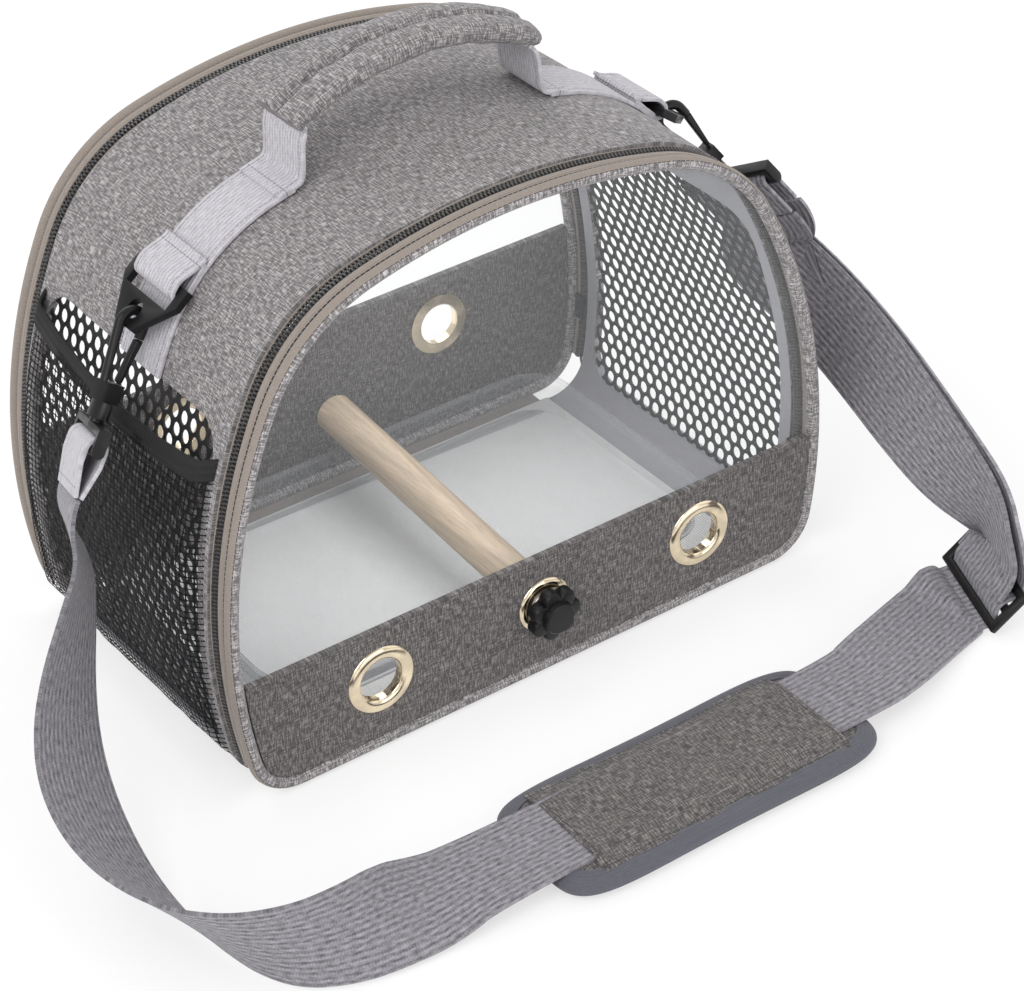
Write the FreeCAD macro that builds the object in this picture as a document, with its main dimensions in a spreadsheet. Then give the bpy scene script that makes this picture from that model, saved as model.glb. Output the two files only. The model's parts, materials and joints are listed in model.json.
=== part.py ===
import FreeCAD, Part
import math
import os
import Sketcher
from FreeCAD import Placement, Rotation, Vector

# Bird carrier bag: a padded fabric arch with clear zip doors at both ends, net sides,
# a perch bolted through the front door, a top handle and a clip-on shoulder strap.
# Frame: X to the right, Y from the front door to the rear door, Z up from the floor.

SIZES = [
    ("bag_width", 300, "widest part of the arch, at the sides"),
    ("bag_height", 232, "floor to the top of the arch"),
    ("bag_depth", 184, "front piping to rear piping"),
    ("corner_radius", 23, "arch outline: bottom corners"),
    ("side_radius", 253, "arch outline: sides"),
    ("side_centre_height", 67, "height of the widest part"),
    ("shoulder_radius", 80, "arch outline: shoulders"),
    ("top_radius", 276, "arch outline: roof"),
    ("piping", 6, "diameter of the piping round each door"),
    ("shell_inset", 0.05, "padded wrap inside the piping line"),
    ("wall", 4, "thickness of the padded wrap"),
    ("fit_gap", 0.2, "room between fixed layers"),
    ("run_gap", 0.3, "room between moving pieces"),
    ("door_tape", 4.8, "zip tape on a door, along the depth"),
    ("shell_tape", 1.7, "zip tape on the wrap, along the depth"),
    ("teeth_row", 1.5, "one row of zip teeth, along the depth"),
    ("teeth_gap", 1.2, "between the two rows of teeth"),
    ("tape_inset", 1.5, "zip tape inside the piping line"),
    ("tape_thickness", 2, "zip tape"),
    ("teeth_inset", 0.8, "zip teeth inside the piping line"),
    ("teeth_thickness", 3.4, "zip teeth"),
    ("zip_foot", 16, "height where both zips end"),
    ("strip_side", 32, "cloth hinge inside the widest part, at each end"),
    ("strip_thickness", 2, "cloth hinge under a door"),
    ("mesh_edge", 7.3, "wrap left in front of and behind the side window"),
    ("mesh_foot", 14, "bottom of the side window"),
    ("mesh_top", 166, "top of the side window"),
    ("mesh_corner", 14, "corner radius of the side window"),
    ("mesh_margin", 5, "net sewn behind the window edge"),
    ("mesh_thickness", 1, "net"),
    ("mesh_pitch", 9, "net, one opening to the next"),
    ("mesh_strand", 2, "net strand"),
    ("pocket_bulge", 6.5, "pocket outside of the wrap"),
    ("pocket_sheet", 1, "pocket mesh"),
    ("pocket_edge", 2.3, "pocket from the edges of the wrap"),
    ("pocket_foot", 14, "bottom of the pocket"),
    ("pocket_top", 156, "top of the pocket"),
    ("elastic_height", 8, "elastic band of the pocket"),
    ("board_side", 32, "floor board inside the widest part, at each end"),
    ("board_edge", 2.3, "floor board from the edges of the wrap"),
    ("board_thickness", 3, "floor board"),
    ("tray_side", 37, "tray body inside the widest part, at each end"),
    ("tray_front", 15.3, "tray body behind the front edge of the wrap"),
    ("tray_height", 18, "tray"),
    ("tray_wall", 1.2, "tray"),
    ("tray_corner", 18, "tray body corner radius"),
    ("tray_flange", 4, "tray rim overhang"),
    ("flange_thickness", 1.5, "tray rim"),
    ("tray_rear", 3.3, "tray body in front of the rear edge of the wrap"),
    ("band_setback", 0.5, "door band behind the piping"),
    ("band_thickness", 3, "padded door band"),
    ("front_band_height", 60, "top of the front door band"),
    ("rear_band_height", 85, "top of the rear door band"),
    ("window_thickness", 0.8, "clear door sheet"),
    ("window_lap", 4, "clear sheet behind the band"),
    ("eyelet_outer", 32, "eyelet flange"),
    ("eyelet_bore", 20, "eyelet hole"),
    ("eyelet_wall", 1.5, "eyelet barrel"),
    ("eyelet_flange", 1.2, "eyelet flange thickness"),
    ("front_eyelet_side", 82, "front eyelets from the middle"),
    ("front_eyelet_height", 35, "front eyelets above the floor"),
    ("rear_eyelet_side", 69, "rear eyelets from the middle"),
    ("rear_eyelet_height", 60, "rear eyelets above the floor"),
    ("perch_eyelet_outer", 26, "middle eyelet flange"),
    ("perch_eyelet_bore", 14, "middle eyelet hole"),
    ("perch_diameter", 18, "perch dowel"),
    ("perch_short", 26, "dowel shorter than the bag is deep"),
    ("perch_tilt", 4.5, "perch rises to the rear, degrees"),
    ("perch_seat", 5.6, "middle of the door band to the dowel end"),
    ("stud_diameter", 6, "stud in the perch"),
    ("stud_depth", 16, "stud inside the dowel"),
    ("stud_reach", 11, "stud in front of the door band"),
    ("washer_outer", 20, "perch washers"),
    ("washer_thickness", 1.4, "perch washers"),
    ("knob_seat", 4.9, "middle of the door band to the knob"),
    ("knob_diameter", 25, "star knob across the lobes"),
    ("knob_lobe", 3.6, "radius of a lobe"),
    ("knob_rim", 6, "height of the lobes"),
    ("knob_crown", 3, "domed part above the lobes"),
    ("knob_crown_diameter", 15, "domed part above the lobes"),
    ("webbing_width", 30, "handle webbing"),
    ("handle_forward", 8, "handle in front of the middle of the roof"),
    ("webbing_thickness", 2, "handle webbing"),
    ("riser_side", 57, "handle webbing leaves the roof"),
    ("riser_lean", 7, "handle webbing leans inwards"),
    ("grip_radius", 115, "curve of the grip"),
    ("grip_rise", 34, "middle of the grip above the top of the arch"),
    ("grip_angle", 60, "arc of the grip, degrees"),
    ("grip_width", 30, "grip"),
    ("grip_thickness", 16, "grip"),
    ("grip_corner", 6, "grip edges"),
    ("ring_angle", 40, "ring on the shoulder, degrees above level"),
    ("ring_outset", 5.5, "ring bar outside the piping line"),
    ("ring_hang_angle", 52, "ring from upright, degrees"),
    ("ring_width", 39, "strap ring"),
    ("ring_bar", 4.4, "ring bar in the webbing loop"),
    ("ring_thickness", 3.6, "strap ring"),
    ("ring_slot", 9, "ring bar axis to the foot of the slot"),
    ("ring_hole", 4.3, "radius of the hole for the hook"),
    ("ring_hole_drop", 16, "ring bar axis to the hole"),
    ("ring_reach", 23.7, "ring bar axis to the end of the ring"),
    ("ring_nose", 1.7, "ring beside the hole"),
    ("hook_wire", 2.1, "hook wire radius"),
    ("hook_curl", 6, "hook curl radius"),
    ("hook_length", 24, "hook bearing to the hook body"),
    ("hook_tip", 4.5, "straight end of the hook"),
    ("hook_body", 8, "height of the hook body"),
    ("hook_body_thickness", 7.6, "hook body"),
    ("gate_width", 3.4, "hook gate"),
    ("collar_radius", 5.8, "swivel collar"),
    ("collar_height", 7, "swivel collar"),
    ("shank_radius", 2.8, "swivel shank"),
    ("shank_depth", 5.5, "swivel shank in the collar"),
    ("eye_width", 47, "strap eye"),
    ("eye_bar", 2.6, "strap eye bar radius"),
    ("eye_frame", 3, "strap eye sides"),
    ("eye_drop", 10.5, "collar to the strap eye bar"),
    ("strap_width", 40, "shoulder strap"),
    ("strap_thickness", 2, "shoulder strap"),
    ("loop_width", 38, "strap end in the eye"),
    ("loop_length", 20, "strap end below the eye"),
    ("sewn_end", 4, "stitched end of the strap loop"),
    ("strap_lead", 9, "strap straight on from its loop"),
    ("slider_length", 12, "zip slider along the zip"),
    ("slider_width", 6.4, "zip slider across the zip"),
    ("slider_plate", 1.8, "zip slider plate"),
    ("slider_post", 0.6, "zip slider post between the rows"),
    ("slider_bridge", 3, "zip slider bridge"),
    ("slider_height", 44, "zip sliders above the floor"),
    ("pull_length", 24, "zip pull"),
    ("pull_width", 9, "zip pull"),
    ("pull_thickness", 1.6, "zip pull"),
    ("buckle_length", 50, "three-bar buckle along its bars"),
    ("buckle_height", 22, "three-bar buckle across its bars"),
    ("buckle_thickness", 3.2, "three-bar buckle"),
    ("buckle_bar", 4, "buckle bars"),
    ("pad_length", 158, "shoulder pad"),
    ("pad_width", 68, "shoulder pad"),
    ("pad_thickness", 8.7, "shoulder pad cushion"),
    ("pad_corner", 16, "shoulder pad corners"),
    ("pad_waist", 2, "shoulder pad sides drawn in"),
    ("pad_edge", 4, "shoulder pad edge drawn in"),
    ("pad_middle_y", -190, "shoulder pad on the floor, in front of the bag"),
    ("sleeve_length", 124, "pad sleeve"),
    ("sleeve_width", 60, "pad sleeve"),
    ("sleeve_height", 4.4, "pad sleeve"),
    ("sleeve_roof", 1.6, "pad sleeve above the strap"),
]

doc = FreeCAD.newDocument("bird_carrier_bag")
sheet = doc.addObject("Spreadsheet::Sheet", "sizes")
for row, (alias, value, meaning) in enumerate(SIZES, 1):
    sheet.set(f"A{row}", meaning)
    sheet.set(f"B{row}", str(value))
    sheet.setAlias(f"B{row}", alias)
doc.recompute()


class Size:
    """A number together with the sheet formula that gives it."""

    def __init__(self, value, text):
        self.value = value
        self.text = text

    def __add__(self, other):
        return Size(self.value + number(other), f"({self.text} + {formula(other)})")

    def __radd__(self, other):
        return Size(number(other) + self.value, f"({formula(other)} + {self.text})")

    def __sub__(self, other):
        return Size(self.value - number(other), f"({self.text} - {formula(other)})")

    def __rsub__(self, other):
        return Size(number(other) - self.value, f"({formula(other)} - {self.text})")

    def __mul__(self, factor):
        return Size(self.value * number(factor), f"({self.text} * {formula(factor)})")

    def __truediv__(self, factor):
        return Size(self.value / number(factor), f"({self.text} / {formula(factor)})")

    def __neg__(self):
        return Size(-self.value, f"(0 - {self.text})")


def number(quantity):
    return quantity.value if isinstance(quantity, Size) else float(quantity)


def formula(quantity):
    return quantity.text if isinstance(quantity, Size) else f"({float(quantity):.9f})"


def size(alias):
    return Size(float(sheet.get(alias)), f"sizes.{alias}")


def bind(item, name, quantity):
    item.setExpression(name, formula(quantity))


nodes = []


def node(label, item):
    """Name a finished sub-part."""
    item.Label = label
    nodes.append(item)
    return item


# Solids and booleans


def box(name, x, y, z):
    """A box between two limits on each axis."""
    item = doc.addObject("Part::Box", name)
    for length, axis, (low, high) in zip(("Length", "Width", "Height"), "xyz", (x, y, z)):
        bind(item, length, high - low)
        bind(item, f"Placement.Base.{axis}", low)
    return item


def cylinder(name, radius, height, base, direction=(0, 0, 1)):
    item = doc.addObject("Part::Cylinder", name)
    bind(item, "Radius", radius)
    bind(item, "Height", height)
    item.Placement = Placement(Vector(), Rotation(Vector(0, 0, 1), Vector(*direction)))
    for axis, place in zip("xyz", base):
        bind(item, f"Placement.Base.{axis}", place)
    return item


def fuse(name, *items):
    item = doc.addObject("Part::MultiFuse", name)
    item.Shapes = list(items)
    item.Refine = True
    return item


def boolean(kind, name, base, tool):
    item = doc.addObject(f"Part::{kind}", name)
    item.Base = base
    item.Tool = tool
    item.Refine = True
    return item


def cut(name, base, *tools):
    tool = tools[0] if len(tools) == 1 else fuse(name + "_tools", *tools)
    return boolean("Cut", name, base, tool)


def common(name, base, tool):
    return boolean("Common", name, base, tool)


def group(name, *items):
    item = doc.addObject("Part::Compound", name)
    item.Links = list(items)
    return item


def feature(name, shape):
    item = doc.addObject("Part::Feature", name)
    item.Shape = shape
    return item


# Sketches


def new_sketch(body, name, role, offset=0):
    sketch = body.newObject("Sketcher::SketchObject", name)
    plane = next(item for item in body.Origin.OriginFeatures if item.Role == role)
    sketch.AttachmentSupport = [(plane, "")]
    sketch.MapMode = "FlatFace"
    bind(sketch, "AttachmentOffset.Base.z", offset)
    return sketch


def dimension(sketch, kind, targets, quantity):
    index = sketch.addConstraint(Sketcher.Constraint(kind, *targets, number(quantity)))
    sketch.setExpression(f"Constraints[{index}]", formula(quantity))


def level(sketch, kind, geometry, end, quantity):
    """Hold a point at a signed distance from the sketch origin along one axis."""
    if number(quantity) >= 0:
        dimension(sketch, kind, (-1, 1, geometry, end), quantity)
    else:
        dimension(sketch, kind, (geometry, end, -1, 1), 0 - quantity)


def chain(sketch, pieces):
    """Add a closed chain of tangent lines and arcs."""
    first = sketch.GeometryCount
    for piece in pieces:
        sketch.addGeometry(piece)
    count = len(pieces)
    for index in range(count):
        here = first + index
        after = first + (index + 1) % count
        sketch.addConstraint(Sketcher.Constraint("Tangent", here, 2, after, 1))
    return first


def arc(centre, radius, start, end):
    return Part.ArcOfCircle(Part.Circle(Vector(*centre, 0), Vector(0, 0, 1), radius), start, end)


def segment(start, end):
    return Part.LineSegment(Vector(*start, 0), Vector(*end, 0))


def circle_meeting(first, first_radius, second, second_radius):
    """The upper crossing of two circles, to the right of the line that joins them."""
    gap = math.hypot(second[0] - first[0], second[1] - first[1])
    along = (first_radius**2 - second_radius**2 + gap**2) / (2 * gap)
    aside = math.sqrt(first_radius**2 - along**2)
    ux, uz = (second[0] - first[0]) / gap, (second[1] - first[1]) / gap
    options = [
        (first[0] + along * ux - sign * aside * uz, first[1] + along * uz + sign * aside * ux)
        for sign in (1, -1)
    ]
    return max(options, key=lambda point: point[1])


WIDTH = size("bag_width")
HEIGHT = size("bag_height")
CORNER = size("corner_radius")
SIDE = size("side_radius")
SHOULDER = size("shoulder_radius")
ROOF = size("top_radius")
SIDE_AT = (WIDTH / 2 - SIDE, size("side_centre_height"))
ROOF_AT = (0.0, HEIGHT - ROOF)

side_at = tuple(number(q) for q in SIDE_AT)
roof_at = tuple(number(q) for q in ROOF_AT)
corner_rise = side_at[1] - CORNER.value
corner_at = (
    side_at[0] + math.sqrt((SIDE.value - CORNER.value) ** 2 - corner_rise**2),
    CORNER.value,
)
shoulder_at = circle_meeting(
    side_at, SIDE.value - SHOULDER.value, roof_at, ROOF.value - SHOULDER.value
)
CORNER_END = math.atan2(corner_at[1] - side_at[1], corner_at[0] - side_at[0])
SIDE_END = math.atan2(shoulder_at[1] - side_at[1], shoulder_at[0] - side_at[0])
SHOULDER_END = math.atan2(shoulder_at[1] - roof_at[1], shoulder_at[0])


def arch_pieces(inset):
    """Right half of the arch outline from the floor up, then the left half down."""
    half = [
        (corner_at, CORNER.value, -math.pi / 2, CORNER_END),
        (side_at, SIDE.value, CORNER_END, SIDE_END),
        (shoulder_at, SHOULDER.value, SIDE_END, SHOULDER_END),
    ]
    right = [arc(at, radius - inset, start, end) for at, radius, start, end in half]
    roof = arc(roof_at, ROOF.value - inset, SHOULDER_END, math.pi - SHOULDER_END)
    left = [
        arc((-at[0], at[1]), radius - inset, math.pi - end, math.pi - start)
        for at, radius, start, end in reversed(half)
    ]
    return right + [roof] + left


def hold_arch(sketch, first, inset):
    """Dimension the seven arcs of an arch outline, first being the right corner."""
    corner, side, shoulder, roof = first, first + 1, first + 2, first + 3
    left_shoulder, left_side, left_corner = first + 4, first + 5, first + 6
    dimension(sketch, "Radius", (corner,), CORNER - inset)
    dimension(sketch, "Radius", (side,), SIDE - inset)
    dimension(sketch, "Radius", (shoulder,), SHOULDER - inset)
    dimension(sketch, "Radius", (roof,), ROOF - inset)
    for right, left in ((corner, left_corner), (side, left_side), (shoulder, left_shoulder)):
        sketch.addConstraint(Sketcher.Constraint("Equal", right, left))
    sketch.addConstraint(Sketcher.Constraint("PointOnObject", roof, 3, -2))
    level(sketch, "DistanceY", roof, 3, ROOF_AT[1])
    level(sketch, "DistanceX", side, 3, SIDE_AT[0])
    level(sketch, "DistanceY", side, 3, SIDE_AT[1])
    sketch.addConstraint(Sketcher.Constraint("Symmetric", side, 3, left_side, 3, -2))


def arch(sketch, inset):
    """The arch outline, inset from the piping line, as a closed loop."""
    depth = number(inset)
    floor = segment((-corner_at[0], depth), (corner_at[0], depth))
    first = chain(sketch, [floor] + arch_pieces(depth))
    sketch.addConstraint(Sketcher.Constraint("Horizontal", first))
    level(sketch, "DistanceY", first, 1, inset)
    hold_arch(sketch, first + 1, inset)


def pad(body, name, sketch, length, back=True):
    item = body.newObject("PartDesign::Pad", name)
    item.Profile = sketch
    item.Reversed = back
    bind(item, "Length", length)
    return item


def arch_plate(name, inset, start, depth):
    """A sheet of the arch outline, from start towards the rear."""
    body = doc.addObject("PartDesign::Body", name)
    sketch = new_sketch(body, name + "_outline", "XZ_Plane", 0 - start)
    arch(sketch, inset)
    pad(body, name + "_pad", sketch, depth)
    return body


def arch_ring(name, outer, inner, start, depth):
    """A band between two insets of the arch outline, from start towards the rear."""
    body = doc.addObject("PartDesign::Body", name)
    sketch = new_sketch(body, name + "_outline", "XZ_Plane", 0 - start)
    arch(sketch, outer)
    arch(sketch, inner)
    pad(body, name + "_pad", sketch, depth)
    return body


def rounded_rectangle(sketch, u, v, radius):
    (u0, u1), (v0, v1), r = [tuple(number(q) for q in u), tuple(number(q) for q in v), number(radius)]
    pieces = [
        segment((u0 + r, v0), (u1 - r, v0)),
        arc((u1 - r, v0 + r), r, -math.pi / 2, 0),
        segment((u1, v0 + r), (u1, v1 - r)),
        arc((u1 - r, v1 - r), r, 0, math.pi / 2),
        segment((u1 - r, v1), (u0 + r, v1)),
        arc((u0 + r, v1 - r), r, math.pi / 2, math.pi),
        segment((u0, v1 - r), (u0, v0 + r)),
        arc((u0 + r, v0 + r), r, math.pi, 3 * math.pi / 2),
    ]
    first = chain(sketch, pieces)
    for line, kind in ((0, "Horizontal"), (2, "Vertical"), (4, "Horizontal"), (6, "Vertical")):
        sketch.addConstraint(Sketcher.Constraint(kind, first + line))
    dimension(sketch, "Radius", (first + 1,), radius)
    for corner in (3, 5, 7):
        sketch.addConstraint(Sketcher.Constraint("Equal", first + 1, first + corner))
    level(sketch, "DistanceY", first, 1, v[0])
    level(sketch, "DistanceX", first + 2, 1, u[1])
    level(sketch, "DistanceY", first + 4, 1, v[1])
    level(sketch, "DistanceX", first + 6, 1, u[0])


def polygon(sketch, points):
    """A closed outline of straight lines, every corner held from the origin."""
    corners = [tuple(number(q) for q in point) for point in points]
    first = sketch.GeometryCount
    for index, corner in enumerate(corners):
        sketch.addGeometry(segment(corner, corners[(index + 1) % len(corners)]))
    for index, point in enumerate(points):
        here = first + index
        after = first + (index + 1) % len(points)
        sketch.addConstraint(Sketcher.Constraint("Coincident", here, 2, after, 1))
        level(sketch, "DistanceX", here, 1, point[0])
        level(sketch, "DistanceY", here, 1, point[1])


def frame(origin, across, up):
    """A placement with its Z axis up and its Y axis as near as can be to across."""
    return Placement(Vector(*origin), Rotation(Vector(), Vector(*across), Vector(*up), "ZYX"))


# Places along the depth, from the front face inwards
FIT = size("fit_gap")
RUN = size("run_gap")
PIPING = size("piping")
HALF_DEPTH = size("bag_depth") / 2
TAPE_START = HALF_DEPTH - PIPING
DOOR_TEETH = TAPE_START - size("door_tape")
SHELL_TEETH = DOOR_TEETH - size("teeth_row") - size("teeth_gap")
SHELL_TAPE = SHELL_TEETH - size("teeth_row")
SHELL_EDGE = SHELL_TAPE - size("shell_tape")
ZIP_MIDDLE = DOOR_TEETH - size("teeth_row") - size("teeth_gap") / 2

SHELL_OUT = size("shell_inset")
SHELL_IN = SHELL_OUT + size("wall")
SIDEWAYS = WIDTH
ENDS = (("front", -1), ("rear", 1))
SIDES = (("left", -1), ("right", 1))


def span(place, depth, end):
    """Where a layer that starts at a distance from the middle begins, for either door."""
    return 0 - place if end < 0 else place - depth


# Padded wrap, floor board and nets
def make_shell():
    wrap = arch_ring("wrap", SHELL_OUT, SHELL_IN, 0 - SHELL_EDGE, SHELL_EDGE * 2)
    window = doc.addObject("PartDesign::Body", "side_window")
    sketch = new_sketch(window, "side_window_outline", "YZ_Plane", 0 - SIDEWAYS)
    half = SHELL_EDGE - size("mesh_edge")
    rounded_rectangle(
        sketch, (0 - half, half), (size("mesh_foot"), size("mesh_top")), size("mesh_corner")
    )
    pad(window, "side_window_pad", sketch, SIDEWAYS * 2, back=False)
    node("dome_shell", cut("shell", wrap, window))
    half_length = WIDTH / 2 - size("board_side")
    half_depth = SHELL_EDGE - size("board_edge")
    top = SHELL_IN + size("board_thickness")
    board = box("board", (0 - half_length, half_length), (0 - half_depth, half_depth), (SHELL_IN, top))
    node("base_board", board)


def side_box(name, side, depth, low, high):
    """Everything on one side of the bag between two heights."""
    across = (0 - SIDEWAYS, 0 - WIDTH / 4) if side < 0 else (WIDTH / 4, SIDEWAYS)
    return box(name, across, (0 - depth, depth), (low, high))


def net_openings(side):
    """Square holes of the net, as one tool."""
    pitch = number(size("mesh_pitch"))
    hole = pitch - number(size("mesh_strand"))
    depth = 2 * number(SHELL_EDGE - size("mesh_edge"))
    low = number(size("mesh_foot"))
    high = number(size("mesh_top"))
    reach = WIDTH.value / 2
    columns = int((depth - pitch) // pitch)
    rows = int((high - low - pitch) // pitch)
    holes = []
    for column in range(columns):
        for row_index in range(rows):
            y = (column - (columns - 1) / 2) * pitch
            z = (low + high) / 2 + (row_index - (rows - 1) / 2) * pitch
            corner = Vector(-reach if side < 0 else reach / 2, y - hole / 2, z - hole / 2)
            holes.append(Part.makeBox(reach / 2, hole, hole, corner))
    return Part.makeCompound(holes)


def make_nets():
    margin = size("mesh_margin")
    half = SHELL_EDGE - size("mesh_edge") + margin
    outer = SHELL_IN + FIT
    band = arch_ring("net_band", outer, outer + size("mesh_thickness"), 0 - half, half * 2)
    sheets = []
    for label, side in SIDES:
        limits = side_box(
            f"{label}_net_limits", side, SIDEWAYS, size("mesh_foot") - margin, size("mesh_top") + margin
        )
        sheets.append((label, side, common(f"{label}_net_sheet", band, limits)))
    doc.recompute()
    for label, side, sheet_item in sheets:
        net = sheet_item.Shape.cut(net_openings(side))
        node(f"{label}_mesh_panel", feature(f"{label}_net", net.Solids[0]))


def make_pocket():
    outside = SHELL_OUT - size("pocket_bulge")
    inside = SHELL_OUT - FIT
    sheet_in = outside + size("pocket_sheet")
    half = SHELL_EDGE - size("pocket_edge")
    foot = size("pocket_foot")
    hem = size("pocket_top") - size("elastic_height")
    outer = arch_ring("pocket_outer", outside, inside, 0 - half, half * 2)
    inner_half = half - size("pocket_sheet")
    inner = arch_ring("pocket_inner", sheet_in, inside, 0 - inner_half, inner_half * 2)
    block = common("pocket_block", outer, side_box("pocket_limits", -1, SIDEWAYS, foot, hem))
    room = common(
        "pocket_room",
        inner,
        side_box("pocket_room_limits", -1, SIDEWAYS, foot + size("pocket_sheet"), HEIGHT),
    )
    node("left_mesh_pocket", cut("pocket", block, room))
    band = arch_ring("elastic_band", outside, sheet_in + size("pocket_sheet"), 0 - half, half * 2)
    limits = side_box("elastic_limits", -1, SIDEWAYS, hem, size("pocket_top"))
    node("left_pocket_elastic", common("elastic", band, limits))


def above_foot(name, ring):
    """The part of a zip layer above the foot of the zip."""
    below = (0 - SIDEWAYS, size("zip_foot"))
    limits = (0 - SIDEWAYS, SIDEWAYS)
    return cut(name, ring, box(name + "_below", limits, limits, below))


def make_zips():
    tape = (size("tape_inset"), size("tape_inset") + size("tape_thickness"))
    teeth = (size("teeth_inset"), size("teeth_inset") + size("teeth_thickness"))
    layers = (
        ("door_tape", tape, TAPE_START, size("door_tape")),
        ("door_teeth", teeth, DOOR_TEETH, size("teeth_row")),
        ("shell_teeth", teeth, SHELL_TEETH, size("teeth_row")),
        ("shell_tape", tape, SHELL_TAPE, size("shell_tape")),
    )
    for end_name, end in ENDS:
        for layer, (outer, inner), place, depth in layers:
            name = f"{end_name}_{layer}"
            ring = arch_ring(name + "_ring", outer, inner, span(place, depth, end), depth)
            node(name, above_foot(name, ring))
        strip_half = WIDTH / 2 - size("strip_side")
        depth = TAPE_START - RUN - SHELL_EDGE
        start = span(TAPE_START - RUN, depth, end)
        strip = box(
            f"{end_name}_strip",
            (0 - strip_half, strip_half),
            (start, start + depth),
            (SHELL_OUT, SHELL_OUT + size("strip_thickness")),
        )
        node(f"{end_name}_hinge_strip", strip)


# Doors


def make_piping(end_name, end):
    """Round piping swept along the arch outline, starting at the middle of the floor."""
    body = doc.addObject("PartDesign::Body", f"{end_name}_piping_body")
    radius = PIPING / 2
    place = span(HALF_DEPTH - radius, 0, end)
    path = new_sketch(body, f"{end_name}_piping_path", "XZ_Plane", 0 - place)
    inset = number(radius)
    right = segment((0, inset), (corner_at[0], inset))
    left = segment((-corner_at[0], inset), (0, inset))
    pieces = [right] + arch_pieces(inset) + [left]
    for piece in pieces:
        path.addGeometry(piece)
    for index in range(len(pieces) - 1):
        path.addConstraint(Sketcher.Constraint("Tangent", index, 2, index + 1, 1))
    last = len(pieces) - 1
    path.addConstraint(Sketcher.Constraint("Coincident", last, 2, 0, 1))
    path.addConstraint(Sketcher.Constraint("Horizontal", 0))
    path.addConstraint(Sketcher.Constraint("PointOnObject", 0, 1, -2))
    level(path, "DistanceY", 0, 1, radius)
    hold_arch(path, 1, radius)
    section = new_sketch(body, f"{end_name}_piping_section", "YZ_Plane")
    section.addGeometry(Part.Circle(Vector(number(place), inset, 0), Vector(0, 0, 1), inset))
    dimension(section, "Radius", (0,), radius)
    level(section, "DistanceX", 0, 3, place)
    level(section, "DistanceY", 0, 3, radius)
    pipe = body.newObject("PartDesign::AdditivePipe", f"{end_name}_piping_pipe")
    pipe.Profile = section
    pipe.Spine = (path, [f"Edge{index + 1}" for index in range(len(pieces))])
    node(f"{end_name}_piping", body)


BAND_FACE = HALF_DEPTH - size("band_setback")
BAND = size("band_thickness")
BAND_MIDDLE = BAND_FACE - BAND / 2
WINDOW_FACE = BAND_FACE - BAND - FIT


def eyelet(name, outer, bore, x, z, end):
    """A rolled metal eyelet clamped on both faces of the door band."""
    flange = size("eyelet_flange")
    barrel = bore / 2 + size("eyelet_wall")
    length = BAND + flange * 2
    start = span(BAND_FACE + flange, length, end)
    along = (0, 1, 0)
    front = cylinder(name + "_near", outer / 2, flange, (x, start, z), along)
    back = cylinder(name + "_far", outer / 2, flange, (x, start + flange + BAND, z), along)
    tube = cylinder(name + "_barrel", barrel, length, (x, start, z), along)
    hole = cylinder(name + "_bore", bore / 2, length, (x, start, z), along)
    return cut(name, fuse(name + "_flanges", front, tube, back), hole)


def make_door(end_name, end, band_height, eyelets):
    """Piping, band, clear window and eyelets of one door. An eyelet is x, z, outer, bore."""
    make_piping(end_name, end)
    edge = PIPING + FIT
    everything = (0 - SIDEWAYS, SIDEWAYS)
    window_depth = size("window_thickness")
    sheet_item = arch_plate(
        f"{end_name}_sheet", edge, span(WINDOW_FACE, window_depth, end), window_depth
    )
    hidden = box(
        f"{end_name}_sheet_hidden",
        everything,
        everything,
        (0 - SIDEWAYS, band_height - size("window_lap")),
    )
    node(f"{end_name}_window", cut(f"{end_name}_clear", sheet_item, hidden))
    start = span(BAND_FACE, BAND, end)
    panel = arch_plate(f"{end_name}_panel", edge, start, BAND)
    tools = [box(f"{end_name}_panel_above", everything, everything, (band_height, SIDEWAYS))]
    for index, (x, z, outer, bore) in enumerate(eyelets):
        radius = bore / 2 + size("eyelet_wall") + FIT
        tools.append(
            cylinder(f"{end_name}_hole_{index}", radius, BAND, (x, start, z), (0, 1, 0))
        )
    node(f"{end_name}_band", cut(f"{end_name}_padded", panel, *tools))


def make_doors():
    side = size("front_eyelet_side")
    height = size("front_eyelet_height")
    outer, bore = size("eyelet_outer"), size("eyelet_bore")
    small = (size("perch_eyelet_outer"), size("perch_eyelet_bore"))
    pair = [(0 - side, height, outer, bore), (side, height, outer, bore)]
    middle = (0.0, height, *small)
    make_door("front", -1, size("front_band_height"), pair + [middle])
    rings = [
        eyelet(f"front_eyelet_{index}", big, hole, x, z, -1)
        for index, (x, z, big, hole) in enumerate(pair)
    ]
    node("front_eyelets", group("front_eyelet_pair", *rings))
    node("perch_eyelet", eyelet("middle_eyelet", *small, 0.0, height, -1))
    side = size("rear_eyelet_side")
    height = size("rear_eyelet_height")
    pair = [(0 - side, height, outer, bore), (side, height, outer, bore)]
    make_door("rear", 1, size("rear_band_height"), pair)
    rings = [
        eyelet(f"rear_eyelet_{index}", big, hole, x, z, 1)
        for index, (x, z, big, hole) in enumerate(pair)
    ]
    node("rear_eyelets", group("rear_eyelet_pair", *rings))


# Perch and its screw knob, along the perch axis from the middle of the door band
def on_perch_axis(item):
    """Move a piece made along +Y from the origin onto the tilted perch axis."""
    turn = Rotation(Vector(1, 0, 0), number(size("perch_tilt")))
    item.Placement = Placement(
        Vector(0, -number(BAND_MIDDLE), number(size("front_eyelet_height"))), turn
    )
    return item


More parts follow.
